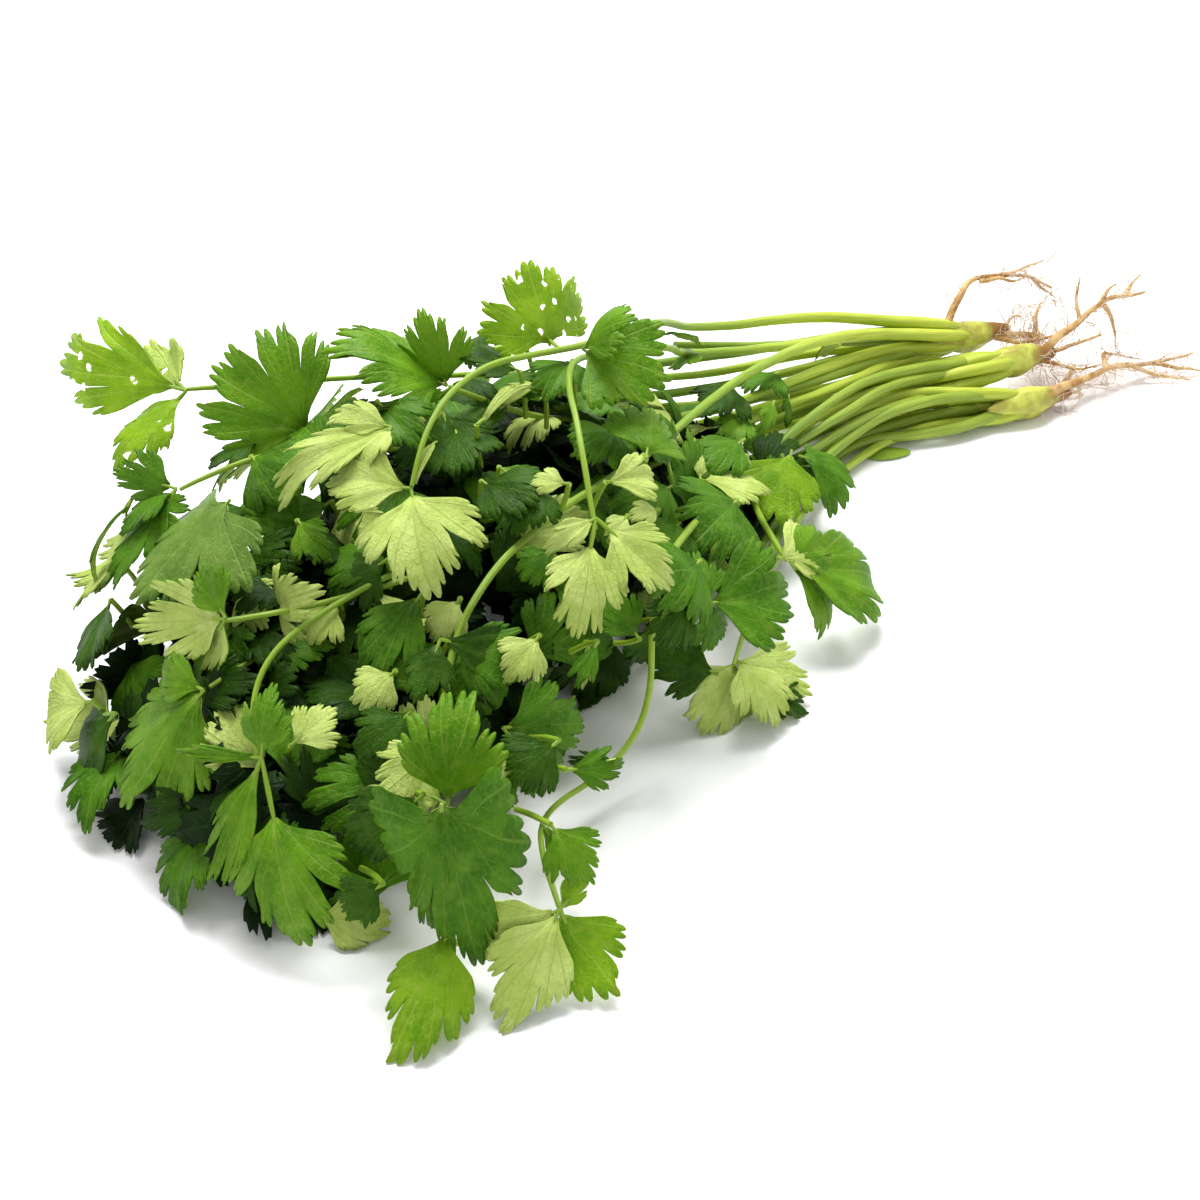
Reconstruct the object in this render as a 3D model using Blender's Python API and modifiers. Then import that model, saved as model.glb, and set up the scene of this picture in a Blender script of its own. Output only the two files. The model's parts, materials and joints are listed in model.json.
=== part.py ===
"""A bunch of fresh coriander, pulled up with its roots and laid on its side.

Three plants lie together. Each has a root crown, tapering roots behind it and a ring of long
leaf stalks in front of it. The stalks fan out into a low heap of compound leaves, whose lobed
leaflets spread from a small hub at the stalk's tip.

The bunch lies along X: the roots point to +X and the leaves to -X. Z is up from the surface.
All design numbers are in millimetres. The finished model is in metres, with its origin on the
surface under the middle of the bunch.
"""

import math

import bmesh
import bpy
import numpy as np
from mathutils import Quaternion, Vector
from mathutils.bvhtree import BVHTree

MM = 0.001                  # one millimetre in metres
GAP = 0.35                  # gap left between neighbouring pieces
LEAF_THICKNESS = 0.6
LEAF_CLEARANCE = 0.5        # half the height of the space kept for a leaf's sheet
HUB_RADIUS = 1.3            # a leaf's hub, where its leaflets meet
HUB_FLARE = 0.6             # angle from an outer leaflet's middle to the hub's outer corner
LEAFLET_MARGIN = 0.6        # from a leaflet's sheet to the plane between it and its neighbour
PARTING_ROUNDS = 4          # a leaflet is lifted off the surface and off its neighbours this often
STALK_SPACING = 1.1         # gap aimed at between stalks that lie on each other
RELAX_ROUNDS = 250
RELAX_STEP = 0.8            # the most that one round moves a point
STALK_END_SETBACK = 2.4     # from the end of a stalk to the middle of its leaf's hub
ROUTE_STEP = 4.0            # spacing of the points along a stalk while it is laid out
ROUTE_TOLERANCE = 0.2       # how far the finished tube may leave that smooth route
MERGE = 0.00005             # doubled points closer than this, in metres, become one

# A plant's crown: name, middle of its front face, direction of its stalks, radius, length.
CROWNS = [
    ("crown_1", (101, -7, 19), (-0.96, 0.26, 0.14), 5.5, 9),
    ("crown_2", (105, -22, 14), (-0.97, 0.24, 0.04), 5.5, 11),
    ("crown_3", (99, -32, 5.6), (-0.95, 0.30, 0.02), 5.5, 10),
]
STALKS_PER_CROWN = 6
STALK_RING = 3.9            # radius of the ring of stalks on a crown

# A stalk: name, crown, place in the crown's ring (0 on top, counted towards +Y), radius at the
# crown, radius at the leaf, and the points that it passes through. It ends at the last point.
STALKS = [
    ("stalk_01", 0, 0, 1.8, 0.9, [(76, 7, 27), (57, 17, 32), (29, 20, 38), (2, 22, 44), (-16, 16, 53),
                                  (-46, 0, 65), (-72, -3, 69), (-98, -6, 75), (-114, -11, 74),
                                  (-124, -16, 67), (-126, -17, 63)]),
    ("stalk_02", 0, 1, 1.7, 0.9, [(71, 9, 24), (42, 12, 30), (14, 14, 36), (-10, 14, 43), (-40, -4, 60),
                                  (-66, -6, 67), (-76, -10, 71), (-94, -28, 72), (-102, -39, 69),
                                  (-107, -47, 58)]),
    ("stalk_03", 0, 5, 1.75, 1.1, [(88, -4, 23), (65, 5, 28), (42, 8, 32), (14, 4, 36), (-16, -3, 40),
                                  (-47, -14, 44), (-66, -21, 47), (-96, -27, 50), (-121, -32, 48),
                                  (-133, -36, 44), (-144, -44, 36), (-153, -55, 30)]),
    ("stalk_04", 0, 4, 1.75, 1.0, [(81, 1, 20), (52, 5, 23), (20, 4, 27), (-9, 2, 31), (-50, 2, 42),
                                  (-84, 6, 57), (-94, 10, 64)]),
    ("stalk_05", 0, 3, 1.8, 0.9, [(86, 0, 14), (65, -1, 17), (36, 0, 20), (17, 1, 22), (-8, 1, 24),
                                  (-60, -6, 32), (-110, -14, 40), (-150, -12, 45), (-163, -6, 46)]),
    ("stalk_06", 1, 5, 1.7, 1.0, [(71, -5, 12), (46, -1, 14), (30, -2, 15), (11, -6, 16), (-30, -22, 21),
                                  (-60, -38, 28), (-82, -54, 33)]),
    ("stalk_07", 2, 0, 1.7, 0.9, [(68, -8, 10), (44, -3, 11), (20, -4, 12), (-7, -9, 14), (-30, -28, 20),
                                  (-47, -49, 24)]),
    ("stalk_08", 2, 5, 1.5, 0.8, [(87, -20, 7), (61, -8, 5), (52, -6, 5), (31, -2, 6), (6, -8, 12),
                                  (-8, -18, 24)]),
    ("stalk_09", 1, 4, 1.7, 0.9, [(70, -10, 8), (20, -9, 9), (-30, -24, 24), (-70, -40, 40),
                                  (-92, -50, 42), (-99, -53, 34), (-98, -55, 22), (-101, -56, 13),
                                  (-109, -56, 8), (-119, -55, 6), (-130, -54, 8), (-139, -63, 11),
                                  (-149, -80, 12)]),
    ("stalk_10", 1, 2, 1.7, 0.9, [(60, 6, 9), (0, 6, 16), (-60, 0, 26), (-110, -6, 36), (-134, -15, 45),
                                  (-148, -15, 44), (-159, -12, 41), (-166, -15, 36), (-171, -24, 29)]),
    ("stalk_11", 1, 0, 1.7, 0.9, [(80, -4, 13), (60, 4, 14), (10, 14, 22), (-40, 18, 36), (-90, 20, 52),
                                  (-120, 20, 57)]),
    ("stalk_12", 0, 2, 1.6, 0.9, [(60, 18, 20), (10, 26, 26), (-50, 34, 44), (-100, 40, 58), (-134, 49, 64)]),
    ("stalk_13", 1, 1, 1.7, 0.9, [(60, 10, 11), (0, 16, 18), (-60, 18, 34), (-110, 18, 52), (-136, 23, 59),
                                  (-148, 32, 52)]),
    ("stalk_14", 2, 1, 1.7, 0.9, [(60, -1, 6), (0, 0, 8), (-60, 4, 14), (-120, -2, 26), (-160, -6, 35),
                                  (-169, -7, 34)]),
    ("stalk_15", 1, 3, 1.6, 0.9, [(60, 14, 6), (0, 26, 12), (-50, 38, 28), (-100, 53, 42)]),
    ("stalk_16", 2, 2, 1.6, 0.9, [(60, 8, 3), (10, 22, 6), (-30, 36, 20), (-60, 47, 40)]),
    ("stalk_17", 2, 4, 1.6, 0.8, [(70, -16, 3), (20, -15, 4), (-30, -36, 12), (-58, -48, 15),
                                  (-72, -55, 11)]),
    ("stalk_18", 2, 3, 1.5, 0.8, [(60, 3, 2), (30, 12, 3), (0, 26, 14), (-22, 35, 33)]),
]

# A root: name, radius at its thick end, and its points from the crown outwards.
ROOTS = [
    ("root_1", 1.2, [(104, -8, 25), (107, -5, 30), (112, -3, 33), (122, -6, 34), (131, -12, 31),
                     (134, -17, 28)]),
    ("root_2", 1.9, [(117, -25, 13.8), (124, -26, 17), (136, -27, 20), (147, -28, 22), (164, -35, 24)]),
    ("root_3", 1.7, [(110, -36, 7), (120, -37, 7), (134, -40, 7), (156, -46, 5), (175, -52, 4)]),
    ("root_4", 1.4, [(118, -20.5, 11.5), (126, -20, 9), (138, -23, 8), (148, -30, 12)]),
    ("root_5", 1.2, [(109.5, -34, 2.8), (118, -31, 2), (130, -29, 1.5), (144, -26, 1)]),
    ("root_6", 1.7, [(110.6, -9.6, 17.6), (118, -13, 17), (128, -16, 14), (140, -15, 8), (149, -11, 3)]),
]
ROOT_TIP_RADIUS = 0.45

# A compound leaf: name, hub, side that faces out of the heap ("top" or "under"), and its
# leaflets. A leaflet is its tip, its width as a share of its length, and its roll in degrees.
LEAVES = [
    ("leaf_01", (-134, 49, 64), "top", [((-146, 84, 66), 0.7, 0), ((-153, 51, 50), 0.8, 20),
                                        ((-133, 68, 70), 0.7, 0)]),
    ("leaf_02", (-120, 19, 58), "top", [((-126, 42, 76), 1.2, 0), ((-131, 50, 54), 0.8, 0)]),
    ("leaf_03", (-149, 32, 52), "top", [((-156, 47, 54), 0.8, 0), ((-160, 37, 42), 0.9, 0),
                                        ((-168, 27, 36), 0.7, 0)]),
    ("leaf_04", (-155, 44, 46), "top", [((-169, 40, 33), 0.7, 0), ((-171, 53, 32), 0.8, 0)]),
    ("leaf_05", (-145, 18, 54), "top", [((-168, 18, 40), 0.9, 0)]),
    ("leaf_06", (-121, -6, 70), "under", [((-145, 3, 62), 1.0, 0), ((-128, 6, 71), 0.9, 0)]),
    ("leaf_07", (-127, -18, 62), "under", [((-136, -1, 61), 0.9, 0), ((-136, -35, 53), 1.1, 0)]),
    ("leaf_08", (-94, 10, 65), "top", [((-105, 30, 77), 1.1, 0), ((-91, 24, 79), 0.9, 0)]),
    ("leaf_09", (-67, 7, 67), "top", [((-65, 21, 83), 1.1, 0)]),
    ("leaf_10", (-64, -11, 70), "top", [((-50, -2, 76), 1.0, 0), ((-46, -16, 66), 1.0, 0)]),
    ("leaf_11", (-108, -48, 57), "under", [((-117, -57, 43), 1.1, 0), ((-98, -60, 48), 1.0, 0),
                                           ((-115, -40, 55), 0.7, 0)]),
    ("leaf_12", (-83, -55, 33), "top", [((-77, -44, 39), 1.0, 0), ((-62, -66, 29), 1.1, 0),
                                        ((-83, -64, 18), 1.0, 0)]),
    ("leaf_13", (-48, -50, 24), "top", [((-22, -62, 9), 0.9, 0), ((-40, -68, 2), 0.9, 0),
                                        ((-31, -42, 23), 0.9, 0)]),
    ("leaf_14", (-72, -56, 11), "under", [((-87, -66, -1), 1.0, 0), ((-74, -74, -1), 0.9, 0),
                                          ((-60, -69, 0), 0.9, 0)]),
    ("leaf_15", (-8, -19, 24), "top", [((14, -28, 12), 1.0, 0), ((-18, -36, 12), 1.0, 0)]),
    ("leaf_16", (-46, -26, 33), "under", [((-30, -30, 28), 0.9, 0), ((-46, -44, 24), 0.9, 0)]),
    ("leaf_17", (-66, -28, 45), "top", [((-84, -32, 42), 0.9, 0), ((-60, -19, 58), 1.0, 0)]),
    ("leaf_18", (-172, -25, 29), "top", [((-163, -23, 43), 1.0, 0), ((-176, -7, 24), 0.5, 0),
                                         ((-187, -28, 9), 0.7, 0), ((-181, -47, 5), 1.0, 0)]),
    ("leaf_19", (-170, -7, 34), "top", [((-184, 5, 14), 1.0, 0), ((-172, 12, 30), 0.8, 0)]),
    ("leaf_20", (-177, 20, 20), "top", [((-188, 26, 5), 0.8, 0), ((-186, 43, -1), 0.7, 0)]),
    ("leaf_21", (-164, -6, 46), "under", [((-171, 18, 39), 0.9, 0), ((-170, -16, 36), 0.8, 0),
                                          ((-158, 8, 52), 0.9, 0)]),
    ("leaf_22", (-154, -57, 29), "top", [((-144, -52, 46), 1.1, 0), ((-160, -42, 27), 0.9, 0)]),
    ("leaf_23", (-160, -36, 26), "top", [((-164, -50, 12), 0.9, 0), ((-152, -30, 34), 0.9, 0)]),
    ("leaf_24", (-159, -60, 28), "top", [((-163, -76, 6), 1.0, 0), ((-174, -64, 4), 0.8, 0)]),
    ("leaf_25", (-172, -72, 14), "top", [((-184, -77, -2), 1.1, 0)]),
    ("leaf_26", (-149, -81, 12), "under", [((-167, -86, 0), 1.0, 0), ((-148, -96, 0), 1.0, 0),
                                           ((-139, -83, 12), 0.9, 0)]),
    ("leaf_27", (-134, -48, 27), "top", [((-118, -56, 20), 1.0, 0), ((-130, -62, 16), 0.9, 0)]),
    ("leaf_28", (-136, -36, 46), "top", [((-124, -46, 37), 0.7, 0), ((-148, -42, 38), 0.8, 0)]),
    ("leaf_29", (-100, 4, 60), "top", [((-104, -9, 52), 1.1, 0), ((-114, 4, 52), 0.9, 0)]),
    ("leaf_30", (-100, 54, 42), "top", [((-114, 76, 20), 1.0, 0), ((-94, 80, 16), 1.0, 0),
                                        ((-82, 64, 34), 1.0, 0)]),
    ("leaf_31", (-60, 48, 40), "top", [((-68, 74, 14), 1.0, 0), ((-48, 76, -1), 1.0, 0),
                                       ((-40, 58, 30), 1.0, 0)]),
    ("leaf_32", (-23, 36, 33), "top", [((-28, 60, 6), 1.0, 0), ((-4, 54, -1), 1.0, 0),
                                       ((2, 38, 26), 0.9, 0)]),
]

# The seed leaf lies near the crowns: its middle, half length, half width and heading in degrees.
SEED_LEAF = ((50, -15, 0.8), 7.0, 3.2, -36)

HEAP_MIDDLE = Vector((-75, 0, 0))       # leaves face away from this point
HEAP_SPREAD = Vector((1.0, 1.3, 0.0))   # how strongly that direction leans along X and Y
HEAP_LIFT = 75                          # and how strongly it leans up

BLADE_SAMPLES = (-1.0, -0.68, -0.36, 0.0, 0.36, 0.68, 1.0)   # lobes at the ends of even places
BLADE_SPREAD = math.radians(62)         # from a leaflet's middle to its side edge
CLEFT_DEPTH = 0.28
CLEFT_WIDTH = 0.12
CLEFT_PLACE = 0.36
NECK_SHARE = 0.16                       # share of a leaflet's length that is its stalklet
BLADE_ARCH = 0.10                       # rise of a blade's middle over its chord
BLADE_DROOP = 0.16                      # fall of a blade's side edges

COLOURS = {
    "stalk": (0.36, 0.50, 0.07),
    "leaf_top": (0.10, 0.26, 0.02),
    "leaf_under": (0.42, 0.56, 0.14),
    "crown": (0.45, 0.38, 0.10),
    "root": (0.50, 0.30, 0.13),
}


def clear_scene():
    for item in list(bpy.data.objects):
        bpy.data.objects.remove(item, do_unlink=True)


def make_material(name):
    material = bpy.data.materials.new(name)
    material.use_nodes = True
    shader = material.node_tree.nodes["Principled BSDF"]
    shader.inputs["Base Color"].default_value = (*COLOURS[name], 1.0)
    shader.inputs["Roughness"].default_value = 0.5
    shader.inputs["Metallic"].default_value = 0.0
    return material


def add_object(name, data, material, collection):
    item = bpy.data.objects.new(name, data)
    data.materials.append(material)
    collection.objects.link(item)
    return item


def smooth_route(points, step):
    """Even points along a smooth curve through the given points, of any spacing."""
    knots = np.array([tuple(point) for point in points], dtype=float)
    gaps = np.linalg.norm(np.diff(knots, axis=0), axis=1)
    slopes = np.diff(knots, axis=0) / gaps[:, None]
    tangents = [slopes[0]]
    for i in range(1, len(knots) - 1):
        tangents.append((slopes[i - 1] * gaps[i] + slopes[i] * gaps[i - 1]) / (gaps[i - 1] + gaps[i]))
    tangents.append(slopes[-1])
    fine = []
    for i, gap in enumerate(gaps):
        for t in np.linspace(0, 1, 24, endpoint=False):
            ends = (2 * t ** 3 - 3 * t ** 2 + 1) * knots[i] + (3 * t ** 2 - 2 * t ** 3) * knots[i + 1]
            leave = (t ** 3 - 2 * t ** 2 + t) * gap * tangents[i]
            arrive = (t ** 3 - t ** 2) * gap * tangents[i + 1]
            fine.append(ends + leave + arrive)
    fine = np.array(fine + [knots[-1]])
    lengths = np.concatenate([[0], np.cumsum(np.linalg.norm(np.diff(fine, axis=0), axis=1))])
    places = np.linspace(0, lengths[-1], max(4, round(lengths[-1] / step) + 1))
    return np.stack([np.interp(places, lengths, fine[:, axis]) for axis in range(3)], axis=1)


def thin_route(points, tolerance):
    """The places of the fewest points that keep a route within the tolerance."""
    if len(points) < 3:
        return [0, len(points) - 1]
    chord = points[-1] - points[0]
    chord = chord / max(np.linalg.norm(chord), 1e-9)
    offsets = points - points[0]
    away = np.linalg.norm(offsets - np.outer(offsets @ chord, chord), axis=1)
    worst = int(away.argmax())
    if away[worst] < tolerance:
        return [0, len(points) - 1]
    left = thin_route(points[:worst + 1], tolerance)
    right = thin_route(points[worst:], tolerance)
    return left + [worst + place for place in right[1:]]


def crown_frame(crown):
    """The crown's face middle, its axis, and the two directions across the face."""
    axis = Vector(crown[2]).normalized()
    up = (Vector((0, 0, 1)) - axis * axis.z).normalized()
    side = up.cross(axis)
    if side.y < 0:
        side = -side
    return Vector(crown[1]), axis, up, side


def stalk_start(crown, place):
    """Two points that lead a stalk straight out of its place in the crown's ring."""
    middle, axis, up, side = crown_frame(crown)
    turn = math.tau * place / STALKS_PER_CROWN
    seat = middle + axis * GAP + (up * math.cos(turn) + side * math.sin(turn)) * STALK_RING
    return [seat, seat + axis * 5]


def relax_routes(routes):
    """Push crossing stalks apart until they lie on each other with a gap, and keep them smooth."""
    rest = np.vstack([route["points"] for route in routes])
    radii = np.concatenate([route["radii"] for route in routes])
    owner = np.concatenate([np.full(len(route["points"]), i) for i, route in enumerate(routes)])
    free = np.concatenate([route["free"] for route in routes])[:, None]
    need = radii[:, None] + radii[None, :] + STALK_SPACING
    apart = owner[:, None] != owner[None, :]
    moved = np.zeros_like(rest)
    for _ in range(RELAX_ROUNDS):
        points = rest + moved
        offsets = points[:, None, :] - points[None, :, :]
        distance = np.linalg.norm(offsets, axis=2) + 1e-6
        short = np.where(apart, np.maximum(need - distance, 0.0), 0.0)
        push = (offsets / distance[:, :, None] * (short * 0.4)[:, :, None]).sum(axis=1)
        push = np.clip(push, -RELAX_STEP, RELAX_STEP)
        push[:, 2] += np.maximum(radii + 0.05 - points[:, 2], 0.0)
        if (np.abs(push) * free).max() < 0.02:
            break
        moved += push * free
        for i in range(len(routes)):
            own = owner == i
            padded = np.pad(moved[own], ((1, 1), (0, 0)), mode="edge")
            between = (padded[:-2] + padded[2:]) / 2
            moved[own] += (between - moved[own]) * 0.25 * free[own]
    points = rest + moved
    points[:, 2] = np.maximum(points[:, 2], radii + 0.05)
    for i, route in enumerate(routes):
        route["points"] = points[owner == i]


def lay_stalks():
    routes = []
    for name, crown, place, base, tip, passes in STALKS:
        ahead = Vector(passes[-1]) - Vector(passes[-2])
        end = Vector(passes[-1]) - ahead.normalized() * STALK_END_SETBACK
        through = stalk_start(CROWNS[crown], place) + [Vector(p) for p in passes[:-1]] + [end]
        points = smooth_route(through, ROUTE_STEP)
        share = np.linspace(0, 1, len(points))
        length = ROUTE_STEP * (len(points) - 1)
        free = np.clip(share * length / 10 - 0.5, 0, 1) * np.clip((1 - share) * length / 10 - 0.3, 0, 1)
        routes.append({"name": name, "points": points, "radii": base + (tip - base) * share ** 0.8,
                       "free": free})
    relax_routes(routes)
    return routes


def tube_curve(name, points, radii, material, collection):
    curve = bpy.data.curves.new(name, "CURVE")
    curve.dimensions = "3D"
    curve.bevel_depth = MM
    curve.bevel_resolution = 1
    curve.use_fill_caps = True
    spline = curve.splines.new("POLY")
    spline.points.add(len(points) - 1)
    for target, point, radius in zip(spline.points, points, radii):
        target.co = (*(float(value) * MM for value in point), 1.0)
        target.radius = float(radius)
    return add_object(name, curve, material, collection)


def make_crown(crown, material, collection):
    """A turned crown: blunt in front, where the stalks sit, and narrowing to the tap root."""
    name, _, _, radius, length = crown
    middle, axis, _, _ = crown_frame(crown)
    profile = [(0, 0), (0.9, 0), (1.0, -0.12), (0.95, -0.4), (0.7, -0.72), (0.38, -1.0), (0, -1.0)]
    mesh = bpy.data.meshes.new(name)
    points = [(across * radius * MM, 0, along * length * MM) for across, along in profile]
    mesh.from_pydata(points, [(i, i + 1) for i in range(len(points) - 1)], [])
    item = add_object(name, mesh, material, collection)
    screw = item.modifiers.new("Turn", "SCREW")
    screw.steps = 12
    screw.render_steps = 12
    screw.use_merge_vertices = True
    screw.merge_threshold = MERGE
    item.location = middle * MM
    item.rotation_mode = "QUATERNION"
    item.rotation_quaternion = axis.to_track_quat("Z", "Y")
    return item


def make_root(root, material, collection):
    name, base, passes = root
    points = smooth_route(passes, ROUTE_STEP)
    share = np.linspace(0, 1, len(points))
    radii = base + (ROOT_TIP_RADIUS - base) * share ** 0.7
    kept = thin_route(points, ROUTE_TOLERANCE)
    return tube_curve(name, points[kept], radii[kept], material, collection)


def facing(place, axis, roll):
    """The direction in which a leaflet's outer side looks: out of the heap, across its axis."""
    out = place - HEAP_MIDDLE
    out = Vector((out.x * HEAP_SPREAD.x, out.y * HEAP_SPREAD.y, HEAP_LIFT))
    across = out - axis * out.dot(axis)
    return Quaternion(axis, math.radians(roll)) @ across.normalized()


def blade_reach(s):
    """How far a leaflet reaches at a place s across its fan, from -1 to 1."""
    outline = 1 - 0.30 * s * s
    for place in (-CLEFT_PLACE, CLEFT_PLACE):
        outline *= 1 - CLEFT_DEPTH * math.exp(-((s - place) / CLEFT_WIDTH) ** 2)
    return outline


def add_leaflet(bm, hub, left, right, tip, width, roll):
    """One leaflet: a grid bent into a fan, on a narrow neck that starts at the hub's edge.
    Returns its points past the hub."""
    span = tip - hub
    length = span.length
    axis = span / length
    normal = facing(hub, axis, roll)
    side = normal.cross(axis)
    columns = len(BLADE_SAMPLES) - 1
    outer = []
    grid = bmesh.ops.create_grid(bm, x_segments=columns, y_segments=3, size=1.0)
    neck = NECK_SHARE * length
    for vertex in grid["verts"]:
        s = BLADE_SAMPLES[round((vertex.co.x + 1) / 2 * columns)]
        row = round((vertex.co.y + 1) / 2 * 3)
        if row == 0:
            vertex.co = right if s < 0 else left
            continue
        if row == 1:
            along = neck
            across = math.copysign(0.75, s) if s else 0.75
        else:
            reach = (0.55 if row == 2 else 1.0) * blade_reach(s) * (length - neck)
            along = neck + reach * math.cos(s * BLADE_SPREAD)
            across = reach * math.sin(s * BLADE_SPREAD) * width
        t = along / length
        rise = BLADE_ARCH * length * 4 * t * (1 - t) - BLADE_DROOP * across * across / length
        vertex.co = hub + axis * along + side * across + normal * rise
        outer.append(vertex)
    return outer


def part_leaflet(vertices, hub, axis, other_axis):
    """Keep a leaflet on its own side of the plane between it and another leaflet of the leaf."""
    away = (axis - other_axis).normalized()
    for vertex in vertices:
        short = LEAFLET_MARGIN - (vertex.co - hub).dot(away)
        if short > 0:
            vertex.co += away * short


def hub_corners(hub, tips, normal):
    """Corners of the hub, one between each two neighbouring leaflets, and the leaflets' order."""
    middle = sum(((tip - hub).normalized() for tip in tips), Vector())
    ahead = middle - normal * middle.dot(normal)
    ahead.normalize()
    side = normal.cross(ahead)
    angles = {}
    for i, tip in enumerate(tips):
        toward = tip - hub
        angles[i] = math.atan2(toward.dot(side), toward.dot(ahead))
    order = sorted(angles, key=angles.get)
    bounds = [(angles[a] + angles[b]) / 2 for a, b in zip(order, order[1:])]
    bounds = [angles[order[0]] - HUB_FLARE] + bounds + [angles[order[-1]] + HUB_FLARE]
    corners = [hub + (ahead * math.cos(a) + side * math.sin(a)) * HUB_RADIUS for a in bounds]
    return corners, order


def leaf_mesh(leaf, scale, turn):
    """A compound leaf as one open sheet, turned about its hub and kept above the surface."""
    _, place, _, leaflets = leaf
    hub = Vector(place)
    tips = [hub + (Vector(tip) - hub) * scale for tip, _, _ in leaflets]
    axes = [(tip - hub).normalized() for tip in tips]
    lead = sum(axes, Vector()).normalized()
    normal = facing(hub, lead, 0)
    corners, order = hub_corners(hub, tips, normal)
    lowest = LEAF_THICKNESS / 2
    bm = bmesh.new()
    for slot, i in enumerate(order):
        _, width, roll = leaflets[i]
        outer = add_leaflet(bm, hub, corners[slot + 1], corners[slot], tips[i], width, roll)
        for other in order * PARTING_ROUNDS:
            for vertex in outer:
                vertex.co.z = max(vertex.co.z, lowest)
            if other != i:
                part_leaflet(outer, hub, axes[i], axes[other])
    back = bm.verts.new(hub - lead * 0.3)
    ring = [bm.verts.new(corner) for corner in corners]
    bm.faces.new([back] + ring)
    bmesh.ops.remove_doubles(bm, verts=bm.verts, dist=0.01)
    bmesh.ops.recalc_face_normals(bm, faces=bm.faces)
    bmesh.ops.triangulate(bm, faces=bm.faces)
    for vertex in bm.verts:
        vertex.co = hub + turn @ (vertex.co - hub)
        vertex.co.z = max(vertex.co.z, lowest)
    bm.normal_update()
    mean = sum((face.normal * face.calc_area() for face in bm.faces), Vector())
    if mean.dot(normal) < 0:
        bmesh.ops.reverse_faces(bm, faces=bm.faces)
        bm.normal_update()
    return bm


def shell_polygons(bm, half):
    """The corners and faces of a sheet thickened by half on each side, for clearance tests."""
    bm.verts.index_update()
    count = len(bm.verts)
    points = [v.co + v.normal * half for v in bm.verts] + [v.co - v.normal * half for v in bm.verts]
    faces = []
    for face in bm.faces:
        loop = [v.index for v in face.verts]
        faces.append(loop)
        faces.append([i + count for i in reversed(loop)])
    for edge in bm.edges:
        if edge.is_boundary:
            a, b = (v.index for v in edge.verts)
            faces.append([a, b, b + count, a + count])
    return points, faces


def tube_polygons(points, radii, extra):
    """A six-sided tube round a route, a little fatter than the piece it stands for."""
    corners = []
    faces = []
    for i, point in enumerate(points):
        ahead = Vector(points[min(i + 1, len(points) - 1)] - points[max(i - 1, 0)]).normalized()
        across = ahead.orthogonal().normalized()
        other = ahead.cross(across)
        for k in range(6):
            turn = math.tau * k / 6
            reach = (radii[i] + extra) * 1.05
            corners.append(Vector(point) + (across * math.cos(turn) + other * math.sin(turn)) * reach)
    for i in range(len(points) - 1):
        for k in range(6):
            a = i * 6 + k
            b = i * 6 + (k + 1) % 6
            faces.append([a, b, b + 6, a + 6])
    return corners, faces


def candidate_turns(leaf):
    """Small turns about a leaf's hub, gentlest first."""
    hub = Vector(leaf[1])
    lead = sum(((Vector(tip) - hub).normalized() for tip, _, _ in leaf[3]), Vector()).normalized()
    normal = facing(hub, lead, 0)
    side = normal.cross(lead)
    ways = [side, -side, lead, -lead, normal, -normal, side + lead, side - lead, -side + lead,
            -side - lead, side + normal, side - normal, -side + normal, -side - normal]
    turns = [Quaternion()]
    for angle in (3, 6, 9, 13, 17, 22, 28, 35):
        for way in ways:
            turns.append(Quaternion(way.normalized(), math.radians(angle)))
    return turns


def settle_leaf(leaf, corners, faces):
    """Turn a leaf about its hub, and shrink it if need be, until it clears what is there."""
    placed = BVHTree.FromPolygons(corners, faces)
    for scale in (1.0, 0.9, 0.8, 0.7):
        for turn in candidate_turns(leaf):
            bm = leaf_mesh(leaf, scale, turn)
            points, polygons = shell_polygons(bm, LEAF_CLEARANCE)
            if not placed.overlap(BVHTree.FromPolygons(points, polygons)):
                return bm, points, polygons
            bm.free()
    raise RuntimeError("there is no room for " + leaf[0])


def make_leaves(routes, materials, collection):
    corners = []
    faces = []
    for route in routes:
        points, polygons = tube_polygons(route["points"], route["radii"], 0.1)
        faces += [[i + len(corners) for i in face] for face in polygons]
        corners += points
    for leaf in LEAVES:
        bm, points, polygons = settle_leaf(leaf, corners, faces)
        faces += [[i + len(corners) for i in face] for face in polygons]
        corners += points
        for vertex in bm.verts:
            vertex.co *= MM
        mesh = bpy.data.meshes.new(leaf[0])
        bm.to_mesh(mesh)
        bm.free()
        item = add_object(leaf[0], mesh, materials["leaf_" + leaf[2]], collection)
        wall = item.modifiers.new("Thickness", "SOLIDIFY")
        wall.thickness = LEAF_THICKNESS * MM
        wall.offset = 0.0


def make_seed_leaf(material, collection):
    """A small oval seed leaf, slightly domed, lying on the surface."""
    middle, half_length, half_width, heading = SEED_LEAF
    bm = bmesh.new()
    bmesh.ops.create_circle(bm, cap_ends=True, cap_tris=True, segments=14, radius=1.0)
    for vertex in bm.verts:
        taper = 1 - 0.25 * vertex.co.x
        dome = 0.8 * (1 - vertex.co.x ** 2 - vertex.co.y ** 2)
        vertex.co = Vector((vertex.co.x * half_length, vertex.co.y * half_width * taper, dome)) * MM
    mesh = bpy.data.meshes.new("seed_leaf")
    bm.to_mesh(mesh)
    bm.free()
    item = add_object("seed_leaf", mesh, material, collection)
    wall = item.modifiers.new("Thickness", "SOLIDIFY")
    wall.thickness = LEAF_THICKNESS * MM
    wall.offset = 0.0
    item.location = Vector(middle) * MM
    item.rotation_euler.z = math.radians(heading)


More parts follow.
